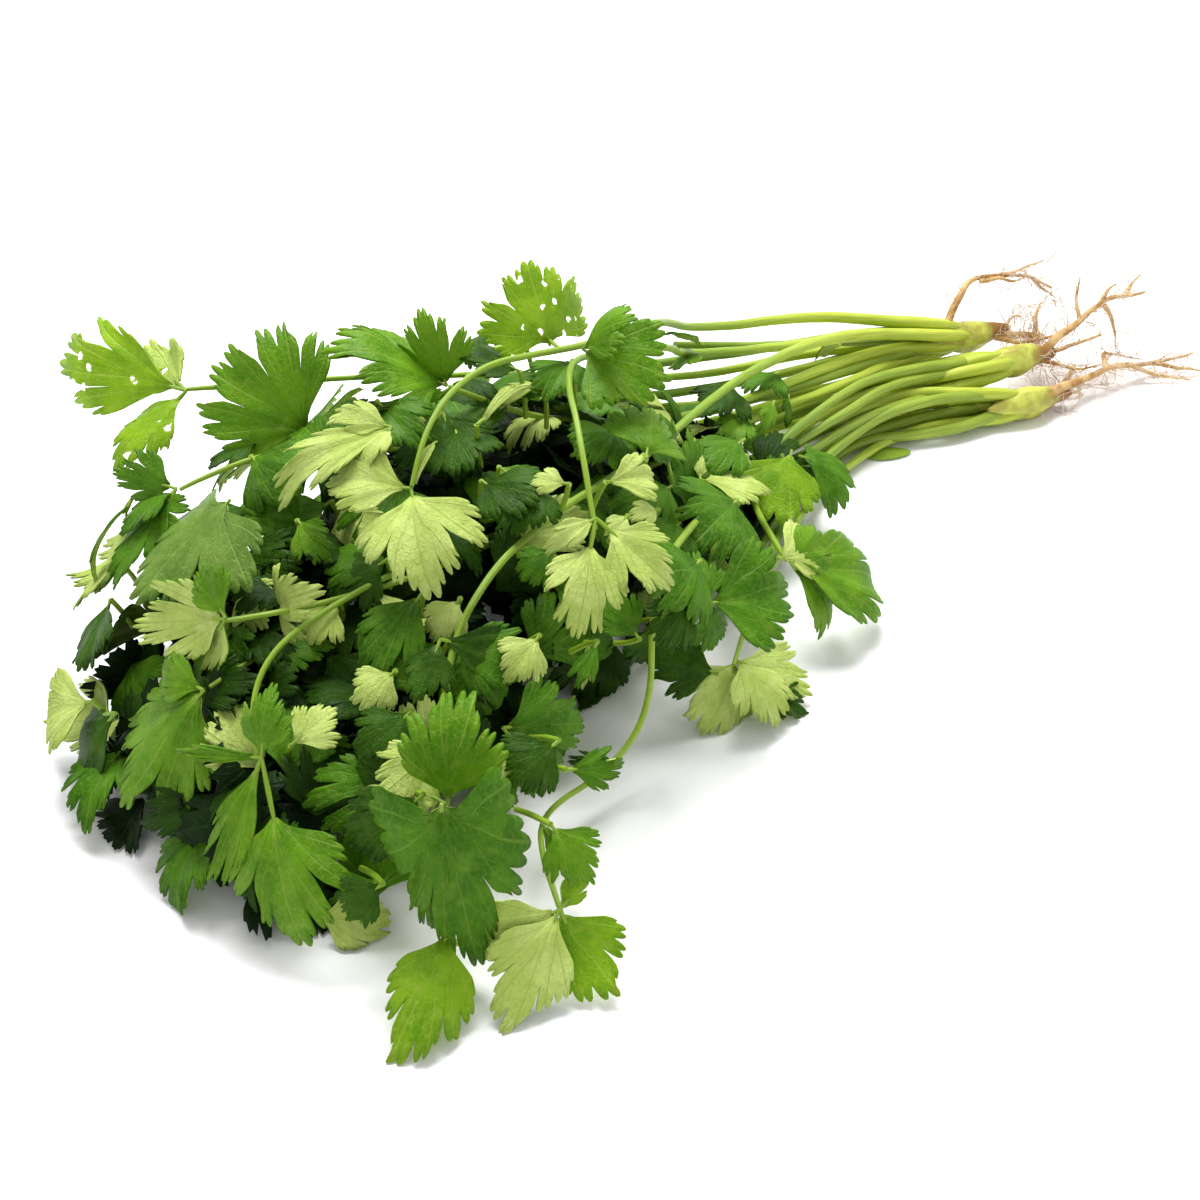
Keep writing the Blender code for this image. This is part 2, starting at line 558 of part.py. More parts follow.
def centre_on_origin(collection):
    """Move the bunch so that its box stands on the surface, centred over the origin."""
    bpy.context.view_layer.update()
    depsgraph = bpy.context.evaluated_depsgraph_get()
    low = Vector((1, 1, 1))
    high = -low
    for item in collection.objects:
        solid = item.evaluated_get(depsgraph)
        mesh = solid.to_mesh()
        for vertex in mesh.vertices:
            place = item.matrix_world @ vertex.co
            low = Vector(map(min, low, place))
            high = Vector(map(max, high, place))
        solid.to_mesh_clear()
    shift = Vector((-(low.x + high.x) / 2, -(low.y + high.y) / 2, -low.z))
    for item in collection.objects:
        item.location += shift


def main():
    clear_scene()
    collection = bpy.data.collections.new("coriander_bunch")
    bpy.context.scene.collection.children.link(collection)
    materials = {name: make_material(name) for name in COLOURS}
    for crown in CROWNS:
        make_crown(crown, materials["crown"], collection)
    for root in ROOTS:
        make_root(root, materials["root"], collection)
    routes = lay_stalks()
    for route in routes:
        kept = [0] + [1 + place for place in thin_route(route["points"][1:], ROUTE_TOLERANCE)]
        tube_curve(route["name"], route["points"][kept], route["radii"][kept],
                   materials["stalk"], collection)
    make_leaves(routes, materials, collection)
    make_seed_leaf(materials["leaf_top"], collection)
    centre_on_origin(collection)


main()
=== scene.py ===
"""Looks of a bunch of fresh coriander, pulled up with its roots and laid on its side.

First come the surface that the bunch lies on, the light and the camera. The leaves follow, from
the large ones that show to the leaflets packed inside the heap, and then the stalks that carry
them, the crowns that the stalks grow from, and the roots. Places are in millimetres from the
layout's own zero point, and are moved from there into the frame.
"""
import json
import math

import bmesh
import bpy
import numpy as np
from mathutils import Matrix, Quaternion, Vector

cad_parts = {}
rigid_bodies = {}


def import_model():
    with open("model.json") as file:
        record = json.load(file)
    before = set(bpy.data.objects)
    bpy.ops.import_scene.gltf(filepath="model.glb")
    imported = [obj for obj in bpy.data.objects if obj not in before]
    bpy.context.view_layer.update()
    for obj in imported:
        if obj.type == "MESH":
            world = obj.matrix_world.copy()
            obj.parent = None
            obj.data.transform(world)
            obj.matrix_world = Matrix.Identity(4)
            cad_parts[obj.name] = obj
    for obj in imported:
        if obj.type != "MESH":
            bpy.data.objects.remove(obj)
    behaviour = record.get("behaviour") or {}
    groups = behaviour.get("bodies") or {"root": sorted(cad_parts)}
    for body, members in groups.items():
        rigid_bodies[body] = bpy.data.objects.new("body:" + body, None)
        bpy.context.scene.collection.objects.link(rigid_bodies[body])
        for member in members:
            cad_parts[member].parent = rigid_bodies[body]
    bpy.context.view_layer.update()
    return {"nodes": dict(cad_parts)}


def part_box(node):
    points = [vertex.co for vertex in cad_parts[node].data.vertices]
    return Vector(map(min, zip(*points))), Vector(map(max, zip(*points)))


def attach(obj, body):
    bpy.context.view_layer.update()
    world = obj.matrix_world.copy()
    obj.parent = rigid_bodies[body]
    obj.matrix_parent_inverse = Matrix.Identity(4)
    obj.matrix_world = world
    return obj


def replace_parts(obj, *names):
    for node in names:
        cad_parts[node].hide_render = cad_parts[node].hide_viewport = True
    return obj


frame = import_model()


# ---- The bunch's place ----------------------------------------------------------------------
# The solids were centred over the origin after they were laid out. The thick end of the first
# root shows how far they were moved, because its place in the layout is known.
MM = 0.001
MERGE = 0.00005                   # corners of a solid that lie closer than this are one
TUBE_SIDES = 6
ROOT_1_START = Vector((104, -8, 25)) * MM


def tube_route(node, start):
    """Centres and radii of a solid tube's rings, in order from the end that is nearer start."""
    mesh = bmesh.new()
    mesh.from_mesh(frame["nodes"][node].data)
    bmesh.ops.remove_doubles(mesh, verts=mesh.verts, dist=MERGE)
    mesh.verts.index_update()
    ring = sorted(mesh.verts, key=lambda vertex: (vertex.co - start).length)[:TUBE_SIDES]
    passed = set(ring)
    route = []
    while ring:
        centre = sum((vertex.co for vertex in ring), Vector()) / len(ring)
        route.append((centre, max((vertex.co - centre).length for vertex in ring)))
        ahead = {edge.other_vert(vertex) for vertex in ring for edge in vertex.link_edges}
        ring = sorted(ahead - passed, key=lambda vertex: vertex.index)
        passed.update(ring)
    mesh.free()
    return route


def middle_of(node):
    low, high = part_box(node)
    return (low + high) / 2


SHIFT = tube_route("root_1", middle_of("crown_1"))[0][0] - ROOT_1_START


def placed(point):
    """A point of the layout, in millimetres, as a place in the frame, in metres."""
    return Vector(point) * MM + SHIFT


# ---- Surface, light and camera --------------------------------------------------------------
# The bunch lies on a white surface under one wide soft light, high up behind its roots, with a
# white room all round that fills the shadows.
FLOOR_HALF = 4.0
FLOOR_CORNERS = [(-1, -1), (1, -1), (1, 1), (-1, 1)]
floor_mesh = bpy.data.meshes.new("floor")
floor_mesh.from_pydata([(FLOOR_HALF * x, FLOOR_HALF * y, 0) for x, y in FLOOR_CORNERS], [], [(0, 1, 2, 3)])
floor = bpy.data.objects.new("floor", floor_mesh)
bpy.context.scene.collection.objects.link(floor)
floor_paint = bpy.data.materials.new("white_surface")
floor_paint.use_nodes = True
floor_shader = floor_paint.node_tree.nodes["Principled BSDF"]
floor_shader.inputs["Base Color"].default_value = (0.93, 0.93, 0.93, 1)
floor_shader.inputs["Roughness"].default_value = 0.9
floor_shader.inputs["Specular IOR Level"].default_value = 0.1
floor_mesh.materials.append(floor_paint)

room = bpy.data.worlds.new("white_room")
room.use_nodes = True
room.node_tree.nodes["Background"].inputs["Color"].default_value = (1.0, 1.0, 1.0, 1)
room.node_tree.nodes["Background"].inputs["Strength"].default_value = 0.72
bpy.context.scene.world = room


def soft_light(name, place, target, size, power):
    data = bpy.data.lights.new(name, "AREA")
    data.size = size
    data.energy = power
    lamp = bpy.data.objects.new(name, data)
    lamp.location = place
    lamp.rotation_euler = (Vector(target) - Vector(place)).to_track_quat("-Z", "Y").to_euler()
    bpy.context.scene.collection.objects.link(lamp)


soft_light("window", place=(0.30, 0.45, 1.15), target=(-0.05, 0, 0), size=0.7, power=27)

CAMERA_PLACE = (-254, -190, 186)
CAMERA_PITCH = math.radians(35)
CAMERA_HEADING = math.radians(46)      # from +Y towards +X
camera_data = bpy.data.cameras.new("camera")
camera_data.lens = 39
camera_data.sensor_width = 36
camera_data.clip_start = 0.01
camera = bpy.data.objects.new("camera", camera_data)
camera.location = placed(CAMERA_PLACE)
camera.rotation_euler = (math.pi / 2 - CAMERA_PITCH, 0, -CAMERA_HEADING)
bpy.context.scene.collection.objects.link(camera)
bpy.context.scene.camera = camera
bpy.context.scene.view_settings.view_transform = "Standard"


# ---- Finishes -------------------------------------------------------------------------------
# Every part of the plant is living tissue: a coloured skin with veins or grain, a soft gloss,
# and, in the leaves, light that comes through from behind.
class Value:
    """A node's output, which can be used in a sum. The sum adds the Math nodes that it needs."""

    def __init__(self, nodes, socket):
        self.nodes = nodes
        self.socket = socket

    def other(self, name):
        return Value(self.nodes, self.socket.node.outputs[name])

    def combine(self, operation, *values):
        settings = {"operation": operation}
        return self.nodes.add("ShaderNodeMath", settings, dict(enumerate(values)))

    def __add__(self, value):
        return self.combine("ADD", self, value)

    def __sub__(self, value):
        return self.combine("SUBTRACT", self, value)

    def __rsub__(self, value):
        return self.combine("SUBTRACT", value, self)

    def __mul__(self, value):
        return self.combine("MULTIPLY", self, value)

    __radd__ = __add__
    __rmul__ = __mul__

    def __abs__(self):
        return self.combine("ABSOLUTE", self)

    def __mod__(self, value):
        return self.combine("FLOORED_MODULO", self, value)

    def at_least(self, value):
        return self.combine("MAXIMUM", self, value)

    def fade(self, full, none):
        """1 where this value is at full, 0 where it is at none, and smooth between them."""
        return self.nodes.add("ShaderNodeMapRange", {"interpolation_type": "SMOOTHSTEP"},
                              {0: self, 1: none, 2: full, 3: 0.0, 4: 1.0})


class Nodes:
    """A node tree that is filled by calls of add."""

    def __init__(self, tree):
        self.tree = tree

    def add(self, kind, settings=None, inputs=None, output=0):
        node = self.tree.nodes.new(kind)
        for name, value in (settings or {}).items():
            setattr(node, name, value)
        for name, value in (inputs or {}).items():
            if isinstance(value, Value):
                self.tree.links.new(value.socket, node.inputs[name])
            else:
                node.inputs[name].default_value = value
        return Value(self, node.outputs[output]) if len(node.outputs) else node

    def blend(self, factor, first, second):
        """A colour between two, each a colour or a link."""
        pair = [value if isinstance(value, Value) else (*value, 1.0) for value in (first, second)]
        return self.add("ShaderNodeMix", {"data_type": "RGBA"}, {0: factor, 6: pair[0], 7: pair[1]}, 2)


def new_finish(name):
    material = bpy.data.materials.new(name)
    material.use_nodes = True
    material.node_tree.nodes.clear()
    return material, Nodes(material.node_tree)


def speckle(nodes, scale, detail=2.0):
    """Noise in the object's own space, its scale in features per metre."""
    place = nodes.add("ShaderNodeTexCoord", output="Object")
    return nodes.add("ShaderNodeTexNoise", None, {"Vector": place, "Scale": scale, "Detail": detail})


# ---- Leaf skins -----------------------------------------------------------------------------
# A leaflet is smooth deep green above, with fine sunken pale veins that run out to its teeth,
# and matt pale yellow-green below, with raised veins. Young leaves are yellower. The upper skins
# bright, fresh, mid and deep are partly the leaves' own tints and partly painted light and shade:
# a brighter skin stands for a sunlit leaf and a deeper one for a leaf in shade.
LEAF_TOPS = {
    "young": ((0.320, 0.540, 0.014), (0.200, 0.400, 0.009), (0.48, 0.64, 0.09)),
    "bright": ((0.230, 0.430, 0.010), (0.140, 0.310, 0.006), (0.42, 0.58, 0.07)),
    "fresh": ((0.150, 0.340, 0.008), (0.090, 0.245, 0.005), (0.32, 0.48, 0.06)),
    "mid": ((0.084, 0.240, 0.006), (0.047, 0.160, 0.003), (0.22, 0.38, 0.04)),
    "deep": ((0.042, 0.125, 0.004), (0.022, 0.075, 0.003), (0.11, 0.22, 0.02)),
    "blue": ((0.180, 0.310, 0.050), (0.125, 0.240, 0.034), (0.28, 0.42, 0.09)),
    # shaded and inner are painted shade: darker copies of the upper skin for leaves deep in the heap's
    # shadow
    "shaded": ((0.024, 0.078, 0.003), (0.014, 0.048, 0.002), (0.06, 0.13, 0.01)),
    "inner": ((0.008, 0.030, 0.002), (0.005, 0.020, 0.002), (0.02, 0.05, 0.01)),
}
LEAF_BELOW = ((0.700, 0.840, 0.240), (0.570, 0.720, 0.160), (0.42, 0.54, 0.10))
# painted shade: a darker copy of the skin below, for undersides inside the heap
SHADED_BELOW = ((0.190, 0.280, 0.050), (0.120, 0.200, 0.028), (0.10, 0.16, 0.02))
# Roughness, how far the veins sink in or stand out in metres, and how strong their colour is.
TOP_FINISH = (0.42, 0.0003, 0.85)
BELOW_FINISH = (0.60, -0.0003, 0.6)
SHINE_THROUGH = 0.34              # share of the light that comes through from behind
TOP_SHINE = (1.6, 1.35, 0.6)      # its colour, as a share of the upper skin's
BITTEN_SHINE = (0.48, 0.66, 0.008)
BELOW_SHINE = (0.40, 0.58, 0.08)
SHADED_SHINE = (0.12, 0.22, 0.02)
VEIN_SPACING = 0.42               # between main veins at the edge, as a share of the blade
VEIN_HALF = (0.003, 0.018)        # full and faded distance from a main vein, as a share of it
SIDE_VEINS = 7
SIDE_VEIN_SLOPE = 0.42
NET_SCALE = 750.0                 # meshes of the fine net per metre
BITE_SCALE = 230.0                # bites per metre, where an insect has eaten through a leaf
BITE_SHARE = 0.19                 # and the share of the way to the next that each one reaches


def vein_masks(nodes):
    """Main veins, side veins and the fine net, each 1 on the vein."""
    blade = nodes.add("ShaderNodeUVMap", {"uv_map": "blade"})
    blade = nodes.add("ShaderNodeSeparateXYZ", None, {0: blade})
    out = blade.other("Y")
    across = abs(blade % 1.0 - 0.5)
    main = (across * out * VEIN_SPACING).fade(*VEIN_HALF)
    step = abs((out - across * SIDE_VEIN_SLOPE) * SIDE_VEINS % 1.0 - 0.5)
    side = step.fade(0.03, 0.13) * across.fade(0.3, 0.5) * out.fade(0.25, 0.12)
    place = nodes.add("ShaderNodeTexCoord", output="Object")
    net = nodes.add("ShaderNodeTexVoronoi", {"feature": "DISTANCE_TO_EDGE"},
                    {"Vector": place, "Scale": NET_SCALE})
    return main, side, net.fade(0.02, 0.12)


def leaf_skin(name, colours, finish, shine_colour, bites=0.0):
    """A leaf's skin. Its colours are those of its body, its darker patches and its veins."""
    body, shade, vein = colours
    rough, bump, vein_share = finish
    material, nodes = new_finish(name)
    main, side, net = vein_masks(nodes)
    patches = speckle(nodes, 130.0, 4.0).fade(0.60, 0.40)
    colour = nodes.blend(patches, body, shade)
    pale = speckle(nodes, 420.0, 3.0).fade(0.72, 0.5) * 0.35
    colour = nodes.blend(pale, colour, vein)
    lines = (main * 0.7).at_least(side * 0.5).at_least(net * 0.22) * vein_share
    colour = nodes.blend(lines, colour, vein)
    dots = speckle(nodes, 1500.0, 1.0)
    colour = nodes.blend(dots.fade(0.78, 0.66) * 0.35, colour, [0.55 * part for part in body])
    relief = main * -1.0 + side * -0.6 + net * -0.25 + speckle(nodes, 320.0, 3.0) * 2.4
    normal = nodes.add("ShaderNodeBump", None, {"Strength": 0.5, "Distance": bump, "Height": relief})
    shader = nodes.add("ShaderNodeBsdfPrincipled", None, {
        "Base Color": colour, "Roughness": rough, "Specular IOR Level": 0.14, "Normal": normal})
    glow = nodes.add("ShaderNodeBsdfTranslucent", None, {"Color": (*shine_colour, 1.0)})
    both = nodes.add("ShaderNodeMixShader", None, {0: SHINE_THROUGH, 1: shader, 2: glow})
    if bites:
        place = nodes.add("ShaderNodeTexCoord", output="Object")
        cell = nodes.add("ShaderNodeTexVoronoi", None, {"Vector": place, "Scale": BITE_SCALE})
        ragged = cell + speckle(nodes, 900.0, 2.0) * 0.5 - 0.25
        kept = ragged.fade(bites + 0.03, bites)
        gap = nodes.add("ShaderNodeBsdfTransparent")
        both = nodes.add("ShaderNodeMixShader", None, {0: kept, 1: gap, 2: both})
    nodes.add("ShaderNodeOutputMaterial", None, {"Surface": both})
    return material


tops = {}
for name, colours in LEAF_TOPS.items():
    shine = [share * part for share, part in zip(TOP_SHINE, colours[0])]
    tops[name] = leaf_skin("leaf_top_" + name, colours, TOP_FINISH, shine)
tops["bitten"] = leaf_skin("leaf_top_bitten", LEAF_TOPS["young"], TOP_FINISH, BITTEN_SHINE, BITE_SHARE)
below = leaf_skin("leaf_below", LEAF_BELOW, BELOW_FINISH, BELOW_SHINE)
bitten_below = leaf_skin("leaf_below_bitten", LEAF_BELOW, BELOW_FINISH, BELOW_SHINE, BITE_SHARE)
shaded_below = leaf_skin("leaf_below_shaded", SHADED_BELOW, BELOW_FINISH, SHADED_SHINE)


# ---- Leaflet blades -------------------------------------------------------------------------
# A leaflet is a thin fan that widens out of its own flat neck. Narrow clefts part it into
# lobes, shallower notches part each lobe again, and every lobe ends in short round teeth.
#
# A form: teeth of each shallow lobe, grouped by deep lobe from right to left; half the fan's
# angle in degrees; depth of the clefts; and how much shorter the fan is at its side edges.
# Depths are shares of the blade's length.
FORMS = {
    "broad": (((3, 3), (3, 4, 3), (3, 3)), 66, 0.42, 0.42),
    "plain": (((3, 2), (3, 3), (2, 3)), 64, 0.20, 0.34),
    "fan": (((3, 2), (3, 3, 3), (2, 3)), 62, 0.30, 0.40),
    "split": (((3, 4), (3, 4, 3), (4, 3)), 70, 0.52, 0.40),
    "star": (((3, 2), (3, 3), (3, 4), (3, 3), (2, 3)), 74, 0.30, 0.34),
    "pair": (((2, 3, 3), (3, 3, 3)), 60, 0.50, 0.32),
    "full": (((3, 3, 3), (3, 4, 3), (3, 3, 3)), 104, 0.30, 0.02),
    "round": (((3, 3, 3), (3, 4, 3), (3, 3, 3)), 98, 0.36, 0.34),
    "long": (((2, 3), (3, 4), (3, 2)), 46, 0.40, 0.50),
    "slim": (((3,), (4,), (3,)), 28, 0.30, 0.50),
    "small": (((3,), (2, 3), (3,)), 60, 0.29, 0.40),
}
LOBE_NOTCH = 0.36                                       # depth, as a share of the form's cleft
TOOTH_NOTCH = 0.045                                     # depth, as a share of the blade
TOOTH_NOTCH_WIDTH = 0.17                                # widths of the notches, in teeth
LOBE_NOTCH_WIDTH = 0.19
CLEFT_WIDTH = 0.10
TOOTH_PLACES = (0.0, 0.13, 0.28, 0.5, 0.72, 0.87)       # columns of the blade's grid in a tooth
CLEFT_PLACES = (-0.09, -0.045, 0.045, 0.09)             # and the extra ones beside a cleft
UNEVEN_TEETH = 0.25                                     # how far teeth crowd together, in teeth
ROUND_LOBES = (0.12, 0.13, 0.05)                        # fall beside each vein, cleft and tooth
NARROW_START = 0.45                                     # how much narrower the fan starts
LOBE_PLEAT = 0.018
# Waves of a blade: height, power of the way out, and waves across and along the blade.
BLADE_WAVES = ((0.075, 2, 2.6, 0), (0.035, 3, 7, 0), (0.016, 1, 2, 8))
FIRST_ROWS = 4                                          # rows of the blade's grid, from its neck
ROW_LENGTH = 12                                         # out, and the mm that add one more
NECK_HALF = 0.55                                        # half a neck's width, in mm
BLADE_WALL = 0.00030
HEAP_MIDDLE = Vector((-75, 0, 0))
HEAP_LIFT = 75                                          # makes leaflets look up as well as out,
HEAP_SIDEWAYS = 1.3                                     # and more to the sides than to the ends


def facing(place, axis, roll):
    """The way that a leaflet's outer side looks: out of the heap, across the leaflet."""
    out = place - HEAP_MIDDLE
    out = Vector((out.x, out.y * HEAP_SIDEWAYS, HEAP_LIFT))
    across = out - axis * out.dot(axis)
    return Quaternion(axis, math.radians(roll)) @ across.normalized()


def notches(lobes, cleft, dice):
    """Place, depth and width of each notch between two teeth, and whether it is a cleft."""
    found = []
    tooth = 0
    for i, deep in enumerate(lobes):
        for j, teeth in enumerate(deep):
            for k in range(teeth):
                if k:
                    found.append((tooth, TOOTH_NOTCH * dice.uniform(0.5, 1.5), TOOTH_NOTCH_WIDTH, False))
                elif j:
                    depth = LOBE_NOTCH * cleft * dice.uniform(0.6, 1.5)
                    found.append((tooth, depth, LOBE_NOTCH_WIDTH, False))
                elif i:
                    found.append((tooth, cleft * dice.uniform(0.75, 1.2), CLEFT_WIDTH, True))
                tooth += 1
    return found, tooth


def smooth_step(value):
    value = np.clip(value, 0, 1)
    return value * value * (3 - 2 * value)


def edge_reach(s, phase, vein, deep_vein, fall, cuts, dice):
    """How far out of its neck the blade's edge lies, for each column of its grid."""
    skew = dice.uniform(-0.10, 0.10)
    reach = (1 - fall * np.abs(s) ** 2.1) * (1 + skew * s)
    for place, share in zip((vein, deep_vein, phase), ROUND_LOBES):
        reach = reach * (1 - share * (2 * (place % 1) - 1) ** 2)
    lobes = np.arange(round(vein[-1]) + 1)
    growth = dice.uniform(0.88, 1.06, len(lobes))
    reach = reach * np.interp(vein, lobes + 0.5, growth)
    cut = np.zeros_like(s)
    for place, depth, wide, _ in cuts:
        cut = cut + depth * np.exp(-(np.abs(phase - place) / wide) ** 1.5)
    return reach * (1 - cut)


def fan_angle(s, phase, share, spread, cuts, dice):
    """The way that each point lies from the neck. Lobes part most round the eye of a cleft."""
    angle = np.radians(spread) * s[None, :] * (1 - NARROW_START * np.exp(-share / 0.16))
    for place, depth, _, deep in cuts:
        if deep:
            gap = phase - place
            eye = 1 - depth * 0.55
            push = np.sign(gap) * np.exp(-(np.abs(gap) / 1.1) ** 2) * dice.uniform(0.05, 0.13)
            angle = angle + push[None, :] * (np.exp(-((share - eye) / (depth * 0.3)) ** 2)
                                             - 0.3 * smooth_step((share - eye) * 5))
    return angle


def blade_folds(along, across, share, angle, deep_vein, dice):
    """The blade's places along its axis, a little shifted, and how far they stand off its plane."""
    arch, droop, fold = dice.uniform(0.02, 0.14), dice.uniform(0.05, 0.45), dice.uniform(-0.18, 0.16)
    starts = dice.uniform(0, 6, 4)
    curl = dice.uniform(-0.3, 0.9)
    rise = arch * 4 * along * (1 - along) - droop * across ** 2 - fold * np.abs(across)
    rise = rise + LOBE_PLEAT * share * np.cos(math.tau * deep_vein)[None, :]
    rise = rise - curl * np.maximum(share - 0.55, 0) ** 2
    for (height, power, sideways, outwards), start in zip(BLADE_WAVES, starts):
        rise = rise + height * share ** power * np.sin(share * outwards + angle * sideways + start)
    return along + 0.02 * share ** 2 * np.sin(angle * 4 + starts[3]), rise


def vein_places(phase, rho, edges, deep_edges):
    """Each point's place between veins. Near the neck, a lobe's veins gather at its middle."""
    lobes = np.arange(len(deep_edges))
    deep_vein = np.interp(phase, deep_edges, lobes)
    centre = np.floor(np.clip(deep_vein, 0, lobes[-1] - 0.001)) + 0.5
    low, middle, high = [np.interp(centre + step, lobes, deep_edges) for step in (-0.5, 0, 0.5)]
    gather = 0.2 + 0.8 * smooth_step((rho - 0.05) / 0.6)
    spot = np.clip(middle + (phase - middle) / gather[:, None], low, high)
    return np.interp(spot, edges, np.arange(len(edges)))


def blade(hub, tip, normal, width, form, neck, dice, fine=1.0):
    """Points, faces and vein coordinates of one open leaflet sheet. The points are in mm."""
    lobes, spread, cleft, fall = FORMS[form]
    axis = (tip - hub).normalized()
    base = hub.lerp(tip, neck)
    length = (tip - base).length
    side = normal.cross(axis)
    cuts, teeth = notches(lobes, cleft, dice)
    places = [tooth + part for tooth in range(teeth) for part in TOOTH_PLACES[::round(1 / fine)]]
    places += [place + part for place, _, _, deep in cuts if deep for part in CLEFT_PLACES] + [teeth]
    phase = np.array(sorted(places))
    s = 2 * phase / teeth - 1
    crowding = np.sin(phase * dice.uniform(0.8, 1.6) + dice.uniform(0, 6))
    s = s + (UNEVEN_TEETH / teeth) * crowding * (1 - s * s)
    edges = np.cumsum([0] + [count for deep in lobes for count in deep])
    deep_edges = np.cumsum([0] + [sum(deep) for deep in lobes])
    vein = np.interp(phase, edges, np.arange(len(edges)))
    deep_vein = np.interp(phase, deep_edges, np.arange(len(deep_edges)))
    reach = edge_reach(s, phase, vein, deep_vein, fall, cuts, dice)
    rows = max(3, round((FIRST_ROWS + length / ROW_LENGTH) * fine))
    rho = np.linspace(0, 1, rows + 1) ** 0.9
    share = rho[:, None] * reach[None, :]
    angle = fan_angle(s, phase, share, spread, cuts, dice)
    flat = NECK_HALF / length * s[None, :] * (1 - share)
    across = share * np.sin(angle) * width + flat
    along, rise = blade_folds(share * np.cos(angle), across, share, angle, deep_vein, dice)
    spread_out = np.stack([along, across, rise], axis=2).reshape(-1, 3)
    points = spread_out @ np.array([axis, side, normal]) * length + np.array(base)
    wide = len(phase)
    i, j = np.meshgrid(np.arange(wide - 1), np.arange(rows))
    corner = (j * wide + i).ravel()
    faces = np.stack([corner, corner + wide, corner + wide + 1, corner + 1], axis=1)
    veins = vein_places(phase, rho, edges, deep_edges)
    spots = np.stack([veins, np.repeat(rho[:, None], wide, axis=1)], axis=2).reshape(-1, 2)
    return points, faces, spots


def sheet_object(name, sheets, outer, inner):
    """One thin closed piece from open sheets, with its outer and inner skins."""
    starts = np.cumsum([0] + [len(points) for points, _, _ in sheets])
    points = np.vstack([points for points, _, _ in sheets]) * MM + np.array(SHIFT)
    points[:, 2] = np.maximum(points[:, 2], BLADE_WALL)
    faces = np.vstack([faces + start for (_, faces, _), start in zip(sheets, starts)])
    spots = np.vstack([spots for _, _, spots in sheets])
    mesh = bpy.data.meshes.new(name)
    mesh.from_pydata(points.tolist(), [], faces.tolist())
    layer = mesh.uv_layers.new(name="blade")
    layer.data.foreach_set("uv", spots[faces.ravel()].astype(np.float32).ravel())
    mesh.shade_smooth()
    mesh.materials.append(outer)
    mesh.materials.append(inner)
    item = bpy.data.objects.new(name, mesh)
    bpy.context.scene.collection.objects.link(item)
    wall = item.modifiers.new("wall", "SOLIDIFY")
    wall.thickness = BLADE_WALL
    wall.offset = 0.0
    wall.material_offset = 1
    wall.material_offset_rim = 0
    return item


